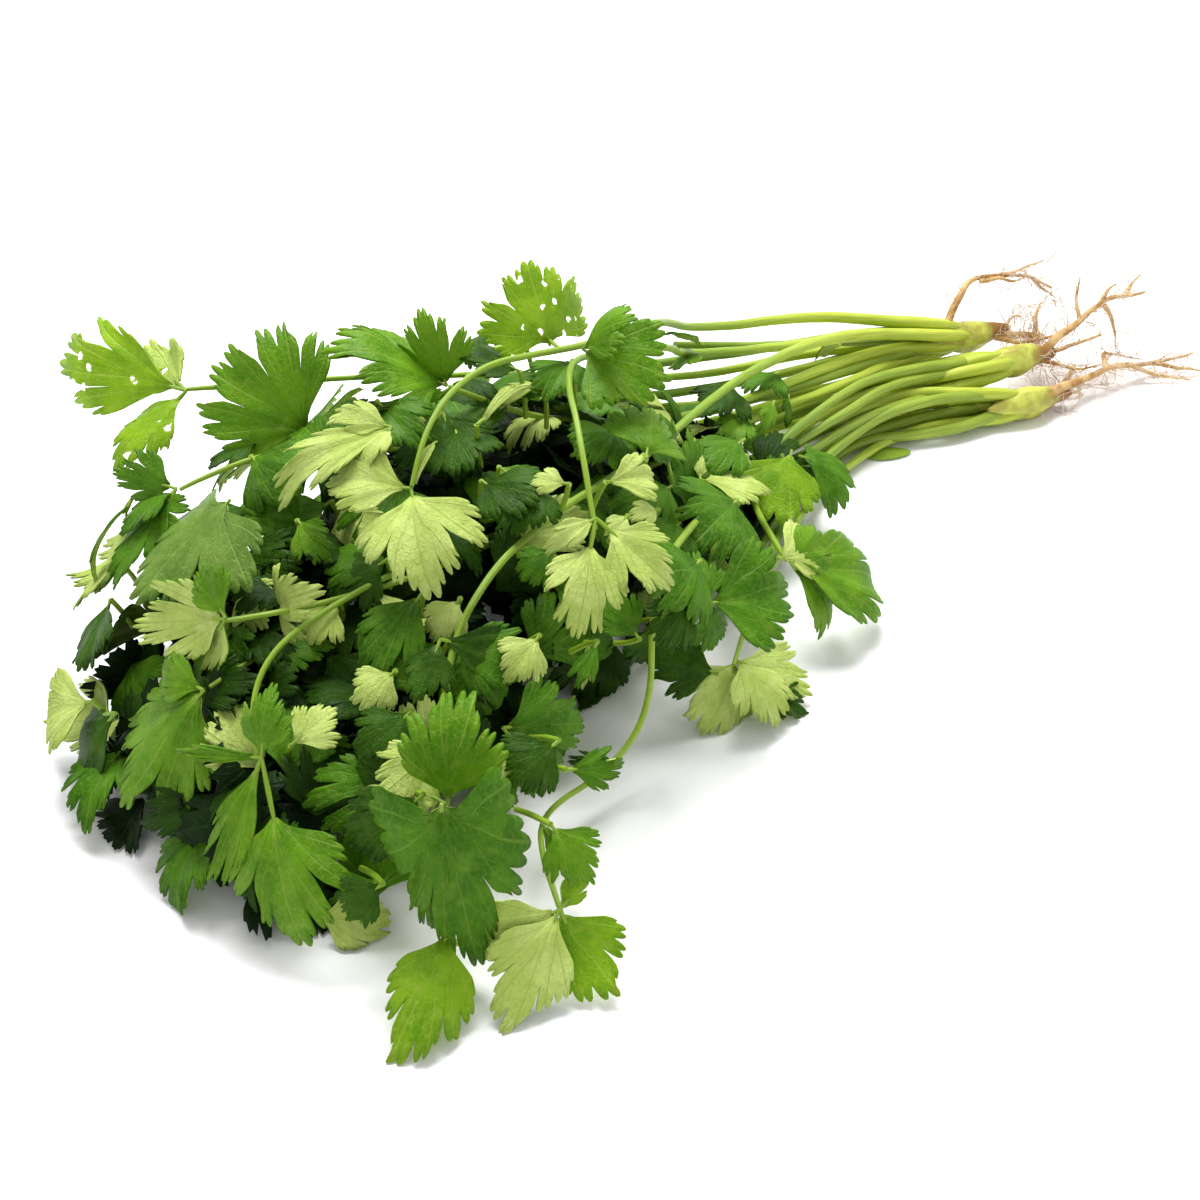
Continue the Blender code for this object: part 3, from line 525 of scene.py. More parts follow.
# ---- Leaves ---------------------------------------------------------------------------------
# A leaf is one to four leaflets that spread from the tip of its stalk, each on a short neck.
# It is thin and soft, so its leaflets roll and fold each in its own way.
#
# A row: name, hub, the side that faces out of the heap, its upper skin, and the leaflets. A
# leaflet: tip, width as a share of its length, roll in degrees, form, and neck as a share of
# the way from the hub to the tip. A roll of 180 shows the other side.
LEAVES = [
    ("leaf_01", (-134, 48, 64), "top", "bitten", [
        ((-146, 84, 66), 0.75, -35, "long", 0.1),
        ((-152, 53, 50), 0.7, -30, "fan", 0.1),
        ((-133, 68, 68), 0.7, 180, "small", 0.15)]),
    ("leaf_02", (-122, 22, 59), "top", "fresh", [
        ((-131, 41, 74), 1.0, -10, "star", 0.03),
        ((-129, 38, 56), 0.6, 0, "small", 0.1)]),
    ("leaf_03", (-148, 33, 52), "top", "mid", [
        ((-155, 47, 54), 0.7, -25, "broad", 0.1),
        ((-160, 35, 44), 0.9, 0, "broad", 0.1),
        ((-167, 30, 36), 0.55, -20, "fan", 0.1)]),
    ("leaf_04", (-153, 43, 48), "top", "mid", [
        ((-167, 40, 34), 0.5, 0, "slim", 0.1),
        ((-170, 48, 28), 0.7, 180, "fan", 0.1)]),
    ("leaf_05", (-146, 15, 56), "top", "blue", [((-168, 17, 40), 0.85, 0, "round", 0.05)]),
    ("leaf_06", (-121, -6, 70), "under", "mid", [
        ((-145, 4, 62), 0.55, 0, "long", 0.05),
        ((-128, 5, 72), 0.6, 0, "small", 0.1),
        ((-131, -9, 66), 0.6, 0, "small", 0.1)]),
    ("leaf_07", (-126, -17, 63), "under", "mid", [
        ((-136, 0, 62), 0.75, 0, "fan", 0.08),
        ((-136, -33, 52), 1.0, 0, "split", 0.08),
        ((-116, -13, 68), 0.4, 0, "slim", 0.1)]),
    ("leaf_08", (-94, 10, 64), "top", "fresh", [
        ((-113, 22, 78), 0.95, -15, "star", 0.05),
        ((-95, 16, 80), 0.9, 0, "broad", 0.06)]),
    ("leaf_09", (-69, 4, 67), "top", "bitten", [((-68, 13, 86), 1.1, 0, "round", 0.04)]),
    ("leaf_10", (-73, -10, 72), "top", "fresh", [
        ((-67, -22, 82), 0.85, 20, "plain", 0.06),
        ((-67, -28, 64), 1.1, 30, "plain", 0.06)]),
    ("leaf_11", (-106, -46, 60), "under", "mid", [
        ((-118, -44, 57), 0.42, 0, "small", 0.1),
        ((-121, -55, 45), 0.8, 0, "broad", 0.25),
        ((-102, -62, 50), 0.85, 0, "broad", 0.2)]),
    ("leaf_12", (-82, -55, 33), "top", "mid", [
        ((-78, -46, 40), 0.95, 0, "plain", 0.08),
        ((-61, -64, 28), 0.95, 0, "plain", 0.05),
        ((-81, -57, 20), 0.9, 0, "fan", 0.08)]),
    ("leaf_13", (-47, -50, 24), "top", "fresh", [
        ((-15, -61, 4), 0.52, 10, "plain", 0.05),
        ((-33, -56, 3), 0.7, 0, "plain", 0.1),
        ((-30, -49, 22), 0.75, 0, "plain", 0.1)]),
    ("leaf_14", (-70, -54, 11), "under", "fresh", [
        ((-87, -59, 1), 1.0, 0, "fan", 0.06),
        ((-74, -70, 1), 0.85, 0, "fan", 0.06),
        ((-59, -68, 3), 0.8, 0, "fan", 0.06)]),
    ("leaf_15", (-7, -20, 26), "top", "bright", [((-24, -28, 14), 1.0, 35, "plain", 0.08)]),
    ("leaf_16", (-46, -22, 34), "under", "mid", [
        ((-31, -31, 28), 0.8, 0, "fan", 0.08),
        ((-37, -11, 38), 0.6, 0, "small", 0.08)]),
    ("leaf_17", (-63, -28, 42), "top", "mid", [
        ((-84, -30, 42), 0.85, 0, "fan", 0.08),
        ((-64, -23, 60), 0.8, 0, "fan", 0.25)]),
    ("leaf_18", (-172, -28, 32), "top", "fresh", [
        ((-166, -24, 43), 0.8, 0, "broad", 0.08),
        ((-178, -11, 27), 0.35, 0, "slim", 0.1),
        ((-187, -29, 9), 0.5, 0, "long", 0.1),
        ((-182, -48, 8), 1.05, 0, "broad", 0.33)]),
    ("leaf_19", (-171, -9, 36), "top", "fresh", [
        ((-186, 2, 12), 0.72, 0, "star", 0.05),
        ((-172, 7, 34), 0.6, 0, "fan", 0.1)]),
    ("leaf_20", (-179, 14, 22), "top", "deep", [
        ((-187, 26, 5), 0.8, 0, "fan", 0.1),
        ((-185, 42, 7), 0.5, 180, "fan", 0.1)]),
    ("leaf_21", (-163, -7, 47), "top", "fresh", [
        ((-174, 12, 42), 0.6, 165, "split", 0.05),
        ((-168, -3, 36), 0.7, 180, "fan", 0.1),
        ((-161, 3, 55), 0.75, 0, "fan", 0.1)]),
    ("leaf_22", (-155, -58, 29), "top", "fresh", [
        ((-147, -53, 48), 0.8, 0, "plain", 0.06),
        ((-159, -41, 30), 0.9, 180, "fan", 0.1)]),
    ("leaf_23", (-154, -51, 26), "top", "deep", [
        ((-163, -38, 12), 0.95, 0, "broad", 0.1),
        ((-155, -33, 34), 0.8, 0, "fan", 0.1)]),
    ("leaf_24", (-160, -63, 36), "top", "mid", [
        ((-161, -71, 4), 0.4, 0, "full", 0.02),
        ((-167, -63, 6), 0.3, 0, "long", 0.1)]),
    ("leaf_25", (-164, -67, 12), "top", "bright", [((-183, -77, 1), 0.62, 0, "plain", 0.06)]),
    ("leaf_26", (-149, -79, 14), "under", "bright", [
        ((-165, -67, 6), 0.6, 0, "fan", 0.06),
        ((-168, -82, 1), 0.6, 0, "plain", 0.06),
        ((-151, -91, 1), 1.05, 180, "plain", 0.06),
        ((-141, -79, 18), 0.6, 180, "small", 0.1)]),
    ("leaf_27", (-134, -49, 28), "top", "mid", [
        ((-116, -52, 20), 0.85, 0, "broad", 0.08),
        ((-127, -57, 12), 0.9, 0, "fan", 0.08)]),
    ("leaf_28", (-139, -39, 46), "top", "deep", [
        ((-124, -46, 36), 0.75, 0, "long", 0.08),
        ((-148, -42, 38), 0.8, 0, "fan", 0.1)]),
    ("leaf_29", (-99, 6, 61), "top", "deep", [
        ((-103, -6, 52), 1.0, 0, "plain", 0.08),
        ((-112, 7, 52), 0.9, 0, "fan", 0.1)]),
    ("leaf_30", (-100, 54, 42), "top", "mid", [
        ((-114, 76, 20), 1.0, 0, "plain", 0.08),
        ((-94, 80, 16), 1.0, 0, "broad", 0.08),
        ((-82, 64, 34), 1.0, 0, "fan", 0.08)]),
    ("leaf_31", (-60, 48, 40), "top", "fresh", [
        ((-68, 74, 14), 1.0, 0, "plain", 0.08),
        ((-48, 76, 1), 1.0, 0, "broad", 0.08),
        ((-40, 58, 30), 1.0, 0, "fan", 0.08)]),
    ("leaf_32", (-23, 36, 33), "top", "mid", [
        ((-28, 60, 6), 1.0, 0, "plain", 0.08),
        ((-4, 54, 1), 1.0, 0, "fan", 0.08),
        ((2, 38, 26), 0.9, 0, "fan", 0.08)]),
]
FIRST_LEAF_SEED = 100
NECK_LAP = 1.5                    # how far a neck runs on into its blade, in mm
necks = []


def leaf(name, hub, side, skin, leaflets, seed, fine=1.0):
    """A leaf's blades as one piece. The necks from its hub to its blades are noted for later."""
    dice = np.random.default_rng(seed)
    hub = Vector(hub)
    sheets = []
    for tip, width, roll, form, neck in leaflets:
        tip = Vector(tip)
        axis = (tip - hub).normalized()
        sheets.append(blade(hub, tip, facing(hub, axis, roll), width, form, neck, dice, fine))
        necks.append((hub, hub.lerp(tip, neck) + axis * NECK_LAP))
    lower = bitten_below if skin == "bitten" else below
    skins = (tops[skin], lower) if side == "top" else (lower, tops[skin])
    item = sheet_object(name, sheets, *skins)
    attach(item, "root")
    "leaf_green" if side == "top" else "leaf_pale"
    return item


for seed, (name, *row) in enumerate(LEAVES, FIRST_LEAF_SEED):
    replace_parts(leaf(name + "_blades", *row, seed), name)


# ---- Tucked leaves --------------------------------------------------------------------------
# Between the large leaves sit smaller ones of the same plants: side leaflets and young leaves
# on thin stalklets. They lie just under the large leaves and close the gaps between them.
#
# A row: number, hub, tip, the side that faces out of the heap, its upper skin and its form, and
# where they aren't the usual ones, its width, neck and roll.
TUCKED = [
    (1, (-127, 9, 50), (-138, 14, 43), "top", "mid", "fan"),
    (2, (-131, 20, 48), (-138, 29, 42), "top", "fresh", "fan"),
    (3, (-83, 16, 61), (-92, 6, 58), "top", "deep", "fan"),
    (4, (-78, -3, 63), (-85, 8, 59), "under", "mid", "long"),
    (5, (-103, -16, 58), (-102, -23, 55), "top", "fresh", "small"),
    (6, (-99, 2, 59), (-108, -11, 55), "top", "deep", "plain"),
    (7, (-100, -24, 57), (-113, -31, 51), "top", "deep", "fan"),
    (8, (-110, -39, 52), (-118, -37, 47), "top", "mid", "fan"),
    (9, (-117, -57, 43), (-125, -59, 37), "top", "mid", "slim"),
    (10, (-136, -38, 43), (-129, -51, 39), "top", "mid", "fan"),
    (11, (-124, -49, 44), (-133, -49, 38), "under", "mid", "fan"),
    (12, (-129, -33, 47), (-137, -33, 41), "under", "mid", "fan"),
    (13, (-139, -39, 41), (-144, -37, 38), "under", "mid", "small"),
    (14, (-146, -34, 40), (-154, -32, 35), "under", "mid", "plain"),
    (15, (-132, -26, 47), (-150, -29, 37), "top", "mid", "long"),
    (16, (-150, -50, 34), (-162, -47, 28), "under", "bright", "fan"),
    (17, (-157, -54, 30), (-170, -49, 22), "top", "deep", "fan"),
    (18, (-149, -42, 37), (-160, -40, 31), "top", "deep", "fan"),
    (19, (-146, -58, 33), (-143, -62, 30), "under", "mid", "small"),
    (20, (-134, -64, 34), (-146, -62, 29), "top", "deep", "fan"),
    (21, (-136, -68, 31), (-127, -74, 29), "top", "mid", "long"),
    (22, (-144, -72, 26), (-143, -81, 18), "top", "fresh", "fan"),
    (23, (-170, -58, 21), (-177, -54, 16), "top", "deep", "fan"),
    (24, (-63, 31, 61), (-77, 24, 59), "top", "deep", "fan"),
    (25, (-66, 16, 64), (-71, 23, 60), "under", "mid", "small"),
    (27, (-80, -35, 58), (-65, -23, 61), "top", "fresh", "fan"),
    (28, (-28, -7, 33), (-22, -19, 29), "under", "mid", "fan"),
    (30, (-52, -31, 32), (-47, -44, 21), "top", "blue", "fan", 1.1),
    (31, (-49, -48, 25), (-33, -50, 22), "under", "mid", "small"),
    (32, (-76, -54, 11), (-86, -41, 12), "top", "deep", "fan"),
    (33, (-70, -58, 5), (-63, -70, 1), "top", "deep", "fan", 0.8),
    (34, (-5, -21, 24), (12, -30, 14), "top", "mid", "plain", 1.0, 0.08, 25),
    (35, (-180, 22, 21), (-188, 35, 12), "under", "mid", "fan"),
    (36, (-156, 9, 39), (-153, 30, 36), "top", "mid", "fan"),
    (37, (-158, 3, 38), (-161, -6, 34), "top", "mid", "small"),
    (38, (-151, 9, 41), (-153, -4, 38), "under", "mid", "fan"),
    (39, (-143, -14, 44), (-152, -14, 38), "under", "mid", "fan"),
    (40, (-166, -28, 31), (-156, -29, 35), "under", "mid", "fan"),
    (41, (-147, 16, 42), (-144, -3, 42), "top", "deep", "fan"),
    (42, (-131, -14, 48), (-143, -9, 42), "top", "deep", "broad"),
    (43, (-138, -63, 16), (-137, -72, 7), "top", "fresh", "long", 0.55, 0.1, 20),
    (44, (-111, -58, 9), (-121, -51, 13), "top", "deep", "long", 0.45),
    (45, (-166, -51, 14), (-172, -44, 4), "top", "mid", "fan", 0.8),
    (46, (-104, -42, 28), (-104, -40, 13), "under", "mid", "slim", 0.5),
    (47, (-103, -36, 62), (-107, -29, 62), "under", "mid", "small", 0.8, 0.15),
    (48, (-95, -38, 60), (-80, -39, 54), "under", "mid", "small", 0.7),
    (49, (-94, -43, 54), (-101, -44, 52), "under", "mid", "small", 0.8),
    (50, (-99, -5, 62), (-78, -2, 64), "under", "mid", "slim", 0.35),
    (51, (-125, 5, 58), (-123, 23, 62), "top", "mid", "fan", 0.8),
    (52, (-138, 5, 52), (-139, -6, 48), "top", "fresh", "fan", 0.8),
    (53, (-102, -54, 34), (-104, -45, 42), "top", "mid", "fan", 0.9),
    (54, (-88, -47, 28), (-89, -43, 14), "top", "deep", "fan", 0.9),
    (55, (-71, -37, 40), (-83, -42, 38), "top", "mid", "plain", 0.9),
    (56, (-78, -37, 46), (-87, -36, 47), "under", "mid", "small", 0.7),
    (57, (-26, -19, 36), (-45, -21, 36), "top", "mid", "small", 0.8),
    (58, (-1, -9, 34), (-11, -13, 30), "top", "fresh", "small", 0.5),
    (59, (-164, -11, 26), (-170, -4, 20), "top", "deep", "plain", 0.9),
    (60, (-159, -24, 28), (-157, -30, 20), "top", "mid", "fan", 0.9),
    (62, (-131, -41, 38), (-139, -42, 34), "top", "mid", "fan", 0.8),
    (63, (-8, 10, 46), (-17, 16, 50), "top", "mid", "fan", 0.8),
    (64, (-8, 10, 44), (-20, 11, 42), "top", "fresh", "fan", 0.8),
    (65, (21, 6, 30), (2, 4, 30), "top", "mid", "fan", 0.9),
    (66, (18, 0, 26), (11, -5, 20), "top", "mid", "small", 0.8),
    (67, (54, 8, 27), (46, 12, 24), "top", "fresh", "small", 0.6),
    (68, (-1, 4, 34), (-20, -1, 34), "top", "deep", "fan", 0.9),
    (69, (-6, -4, 30), (-20, -8, 28), "top", "fresh", "fan", 0.8),
    (70, (-50, -36, 36), (-74, -43, 38), "top", "mid", "broad", 1.0, 0.06),
    (71, (-82, -52, 42), (-101, -57, 44), "top", "mid", "plain", 0.95, 0.06),
    (72, (-92, -58, 40), (-103, -58, 34), "top", "deep", "fan", 0.95, 0.06),
    (73, (-135, 24, 58), (-138, 6, 56), "top", "mid", "plain", 0.9, 0.08),
    (74, (-130, 28, 58), (-141, 32, 54), "top", "deep", "broad", 0.9, 0.08),
    (75, (-122, 15, 60), (-108, 9, 66), "top", "deep", "plain", 0.9, 0.08),
    (76, (-111, 12, 66), (-114, -5, 62), "top", "mid", "fan", 0.8, 0.08),
    (77, (-151, 39, 48), (-157, 21, 44), "top", "mid", "broad", 0.9, 0.08),
    (78, (-167, 33, 34), (-178, 24, 24), "top", "deep", "plain", 0.9, 0.08),
    (79, (-161, 39, 38), (-171, 43, 28), "under", "mid", "fan", 0.6, 0.08),
    (80, (-81, 1, 66), (-90, 10, 72), "top", "deep", "plain", 0.9, 0.08),
    (81, (-69, -3, 66), (-84, -10, 64), "top", "mid", "fan", 0.8, 0.08),
    (82, (-107, -15, 56), (-107, -32, 54), "top", "deep", "plain", 0.9, 0.08),
    (83, (-72, -20, 56), (-87, -23, 56), "top", "mid", "plain", 0.9, 0.08),
]
FIRST_TUCKED_SEED = 300
TUCKED_FINE = 0.8                 # share of a large leaf's grid
STALKLET_INWARD = 0.20            # how far a stalklet runs from its leaf towards the heap's core
STALKLET_BEND = 0.4               # and how far its middle bends away from the leaf, in mm
STALKLET_LOWEST = 17              # leaves that lie lower, or outside the heap, touch the stalks
STALKLET_LAST_X = -40             # that they grow from
stalklets = []


def heap_core(hub):
    """The place low in the heap's middle that a small leaf's stalklet comes from."""
    return Vector((hub.x + 8, hub.y * 0.3 + 3, hub.z * 0.1))


def tucked_leaf(seed, number, hub, tip, side, skin, form, width=1.0, neck=0.1, roll=0):
    """A leaf with one blade. Where it lies inside the heap, its stalklet is noted for later."""
    leaf(f"tuck_{number:02}", hub, side, skin, [(tip, width, roll, form, neck)], seed, TUCKED_FINE)
    hub = Vector(hub)
    if hub.z > STALKLET_LOWEST and hub.x < STALKLET_LAST_X:
        foot = hub.lerp(heap_core(hub), STALKLET_INWARD)
        bend = hub.lerp(foot, 0.5) + (hub - Vector(tip)).normalized() * STALKLET_BEND
        stalklets.append((foot, bend, hub))


for seed, row in enumerate(TUCKED, FIRST_TUCKED_SEED):
    tucked_leaf(seed, *row)


# ---- The heap's inside ----------------------------------------------------------------------
# Under the leaves that show, the heap is packed with more leaflets of the same kind. They are
# scattered over five mounds, one inside the other, and face outwards more or less. The inner
# ones get dark skins as painted shade, since little light reaches them.
#
# A mound's section: its place along X, its middle along Y, its half width and its height, in mm.
MOUND = [(-180, -6, 38, 10), (-168, -4, 50, 28), (-148, 2, 53, 44), (-122, 7, 50, 54),
         (-92, 10, 46, 56), (-60, 12, 40, 52), (-30, 8, 33, 36), (-6, 4, 24, 20)]
MOUND_FOOT = 2
MOUND_SIDES = 14
SCATTER_LENGTH = 17               # of a packed leaflet, in mm
LEAFLET_SIZES = (0.75, 1.25)      # smallest and largest, as shares of that length
SCATTER_DENSITY = 90000.0         # tries per square metre, of which the spacing keeps few
LYING_HEIGHT = 0.0008             # leaflets that would reach the surface are pressed flat here
LYING_DEPTH = 0.02                # and keep this share of their own depth
KINDS_SEED = 7


def mound_object(share):
    """A mound's open surface, at a share of its full height and width."""
    points = []
    for x, middle, half, height in MOUND:
        for k in range(MOUND_SIDES + 1):
            turn = math.pi * k / MOUND_SIDES
            y = middle + half * share * math.cos(turn)
            points.append(placed((x, y, MOUND_FOOT + height * share * math.sin(turn))))
    wide = MOUND_SIDES + 1
    faces = [(a, a + 1, a + wide + 1, a + wide) for row in range(len(MOUND) - 1)
             for a in range(row * wide, row * wide + MOUND_SIDES)]
    mesh = bpy.data.meshes.new("mound")
    mesh.from_pydata(points, [], faces)
    item = bpy.data.objects.new("mound", mesh)
    bpy.context.scene.collection.objects.link(item)
    return item


def growing_tree(name, source, inputs):
    """An empty geometry tree with a source and other inputs: its nodes, and what it is given."""
    tree = bpy.data.node_groups.new(name, "GeometryNodeTree")
    tree.interface.new_socket("Geometry", in_out="OUTPUT", socket_type="NodeSocketGeometry")
    for label, kind in {source: "Geometry", **inputs}.items():
        tree.interface.new_socket(label, in_out="INPUT", socket_type="NodeSocket" + kind)
    nodes = Nodes(tree)
    return nodes, nodes.add("NodeGroupInput")


def scatter_tree():
    """Geometry nodes that set leaflets from a collection over a surface, each turned at random."""
    nodes, given = growing_tree("leaflet_scatter", "Surface", {
        "Leaflets": "Collection", "Density": "Float", "Spacing": "Float", "Tilt": "Float",
        "Seed": "Int", "Top Skin": "Material", "Below Skin": "Material"})
    points = nodes.add("GeometryNodeDistributePointsOnFaces", {"distribute_method": "POISSON"}, {
        "Mesh": given.other("Surface"), "Distance Min": given.other("Spacing"),
        "Density Max": given.other("Density"), "Seed": given.other("Seed")})
    tilt = given.other("Tilt")
    lean = nodes.add("ShaderNodeCombineXYZ", None, {0: tilt, 1: tilt, 2: math.pi})
    back = nodes.add("ShaderNodeVectorMath", {"operation": "SCALE"}, {0: lean, "Scale": -1.0})
    turn = nodes.add("FunctionNodeRandomValue", {"data_type": "FLOAT_VECTOR"},
                     {0: back, 1: lean, "Seed": given.other("Seed")})
    turn = nodes.add("FunctionNodeEulerToRotation", None, {0: turn})
    turn = nodes.add("FunctionNodeRotateRotation", {"rotation_space": "LOCAL"},
                     {0: points.other("Rotation"), 1: turn})
    size = nodes.add("FunctionNodeRandomValue", {"data_type": "FLOAT"},
                     {2: LEAFLET_SIZES[0], 3: LEAFLET_SIZES[1], "Seed": given.other("Seed")}, output=1)
    kinds = nodes.add("GeometryNodeCollectionInfo", None,
                      {0: given.other("Leaflets"), "Separate Children": True, "Reset Children": True})
    leaves = nodes.add("GeometryNodeInstanceOnPoints", None, {
        "Points": points, "Instance": kinds, "Pick Instance": True, "Rotation": turn, "Scale": size})
    leaves = nodes.add("GeometryNodeRealizeInstances", None, {"Geometry": leaves})
    place = nodes.add("GeometryNodeInputPosition")
    place = nodes.add("ShaderNodeSeparateXYZ", None, {0: place})
    height = place.other("Z")
    pressed = height.at_least((height - LYING_HEIGHT) * LYING_DEPTH + LYING_HEIGHT)
    place = nodes.add("ShaderNodeCombineXYZ", None, {0: place, 1: place.other("Y"), 2: pressed})
    leaves = nodes.add("GeometryNodeSetPosition", None, {"Geometry": leaves, "Position": place})
    index = nodes.add("GeometryNodeInputMaterialIndex")
    under = nodes.add("FunctionNodeCompare", {"data_type": "INT", "operation": "EQUAL"}, {2: index, 3: 1})
    leaves = nodes.add("GeometryNodeStoreNamedAttribute", {"data_type": "BOOLEAN", "domain": "FACE"},
                       {"Geometry": leaves, "Name": "under", "Value": under})
    leaves = nodes.add("GeometryNodeSetMaterial", None,
                       {"Geometry": leaves, "Material": given.other("Top Skin")})
    under = nodes.add("GeometryNodeInputNamedAttribute", {"data_type": "BOOLEAN"}, {"Name": "under"})
    leaves = nodes.add("GeometryNodeSetMaterial", None, {
        "Geometry": leaves, "Selection": under, "Material": given.other("Below Skin")})
    nodes.add("NodeGroupOutput", None, {"Geometry": leaves})
    return nodes.tree


def run_tree(name, source, tree, values):
    """The plain mesh that a geometry tree makes of a source object, as a new object."""
    modifier = source.modifiers.new("grow", "NODES")
    modifier.node_group = tree
    for item in tree.interface.items_tree:
        if item.in_out == "INPUT" and item.name in values:
            modifier[item.identifier] = values[item.name]
    depsgraph = bpy.context.evaluated_depsgraph_get()
    mesh = bpy.data.meshes.new_from_object(source.evaluated_get(depsgraph))
    mesh.name = name
    grown = bpy.data.objects.new(name, mesh)
    bpy.context.scene.collection.objects.link(grown)
    bpy.data.objects.remove(source)
    return grown


def solid_copy(item):
    """The object with its modifiers made part of its mesh."""
    depsgraph = bpy.context.evaluated_depsgraph_get()
    mesh = bpy.data.meshes.new_from_object(item.evaluated_get(depsgraph))
    item.modifiers.clear()
    item.data = mesh
    return item


def leaflet_kinds(name, forms, fine):
    """A collection of solid leaflets, one of each form, that point along X from the origin."""
    kinds = bpy.data.collections.new(name)
    bpy.context.scene.collection.children.link(kinds)
    dice = np.random.default_rng(KINDS_SEED)
    start = -SHIFT / MM
    tip = start + Vector((SCATTER_LENGTH, 0, 0))
    lift = Vector((0, 0, 2 * SCATTER_LENGTH))       # keeps a drooping leaflet clear of the surface
    for form in forms:
        points, *rest = blade(start, tip, Vector((0, 0, 1)), 1.0, form, 0.08, dice, fine)
        sheet = (points + np.array(lift), *rest)
        item = solid_copy(sheet_object(name + "_" + form, [sheet], tops["deep"], below))
        item.data.transform(Matrix.Translation(-lift * MM))
        bpy.context.scene.collection.objects.unlink(item)
        kinds.objects.link(item)
    return kinds


leaflet_scatter = scatter_tree()
shown_kinds = leaflet_kinds("shown_leaflets", ("broad", "fan", "small", "pair"), 0.5)
buried_kinds = leaflet_kinds("buried_leaflets", ("fan", "small"), 0.34)
# A layer: name, leaflets, share of the mound, seed, tilt, spacing in mm, top skin and skin below
LAYERS = [
    # The core and inner layers wear the inner skin on both sides, and the middle layer the shaded skins:
    # painted shade for the heap's dark inside.
    ("core_leaflets", buried_kinds, 0.50, 5, 0.5, 8, tops["inner"], tops["inner"]),
    ("inner_leaflets", buried_kinds, 0.68, 3, 0.7, 7, tops["inner"], tops["inner"]),
    ("middle_leaflets", shown_kinds, 0.84, 11, 0.7, 12, tops["shaded"], shaded_below),
    ("outer_leaflets", shown_kinds, 0.97, 29, 0.5, 17, tops["mid"], below),
    ("turned_leaflets", shown_kinds, 0.92, 43, 0.6, 27, below, tops["deep"]),
]
for name, kinds, share, seed, tilt, spacing, top_skin, below_skin in LAYERS:
    inside = run_tree(name, mound_object(share), leaflet_scatter, {
        "Leaflets": kinds, "Density": SCATTER_DENSITY, "Spacing": spacing * MM, "Tilt": tilt, "Seed": seed,
        "Top Skin": top_skin, "Below Skin": below_skin})
    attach(inside, "root")
for item in list(shown_kinds.objects) + list(buried_kinds.objects):
    bpy.data.objects.remove(item)


# ---- Stalks ---------------------------------------------------------------------------------
# A leaf stalk is a juicy tube, pale at the crown and greener towards its leaf, with shallow ribs
# along it. It grows out of its crown and ends at the hub of its leaf.
STALK_FOOT = ((0.74, 0.80, 0.105), (0.46, 0.56, 0.045))
STALK_TOP = ((0.37, 0.55, 0.040), (0.19, 0.34, 0.017))
# The next pair is painted shade: a darker copy of the stalk's colours, for the thin stalks that lie in
# shadow between the main ones.
SHADED_STALK_FOOT = ((0.46, 0.56, 0.060), (0.25, 0.36, 0.025))
SHADED_STALK_TOP = ((0.22, 0.38, 0.030), (0.12, 0.23, 0.015))
FOOT_X = (0.095, -0.020)          # a stalk is palest at the first of these and green at the second


def stalk_skin(name, foot, top):
    material, nodes = new_finish(name)
    ring = nodes.add("ShaderNodeAttribute", {"attribute_name": "ring"}, output="Vector")
    along = nodes.add("ShaderNodeAttribute", {"attribute_name": "along"}, output="Fac")
    grain = nodes.add("ShaderNodeSeparateXYZ", None, {0: ring})
    place = nodes.add("ShaderNodeCombineXYZ", None,
                      {0: grain * 2.2, 1: grain.other("Y") * 2.2, 2: along * 55.0})
    streaks = nodes.add("ShaderNodeTexNoise", None, {"Vector": place, "Scale": 1.6, "Detail": 3.0})
    fine = nodes.add("ShaderNodeTexNoise", None, {"Vector": place, "Scale": 7.0, "Detail": 2.0})
    patches = speckle(nodes, 14.0, 2.0)
    shade = (streaks * 0.6 + patches * 0.5).fade(0.7, 0.4)
    spot = nodes.add("ShaderNodeTexCoord", output="Object")
    spot = nodes.add("ShaderNodeSeparateXYZ", None, {0: spot})
    height = spot.fade(*[x + SHIFT.x for x in FOOT_X])
    colour = nodes.blend(height, nodes.blend(shade, *top), nodes.blend(shade, *foot))
    normal = nodes.add("ShaderNodeBump", None,
                       {"Strength": 0.35, "Distance": 0.0003, "Height": fine + streaks})
    shader = nodes.add("ShaderNodeBsdfPrincipled", None, {
        "Base Color": colour, "Roughness": 0.36, "Specular IOR Level": 0.45, "Normal": normal})
    glow = nodes.add("ShaderNodeBsdfTranslucent", None, {"Color": (0.50, 0.62, 0.09, 1)})
    both = nodes.add("ShaderNodeMixShader", None, {0: 0.18, 1: shader, 2: glow})
    nodes.add("ShaderNodeOutputMaterial", None, {"Surface": both})
    return material


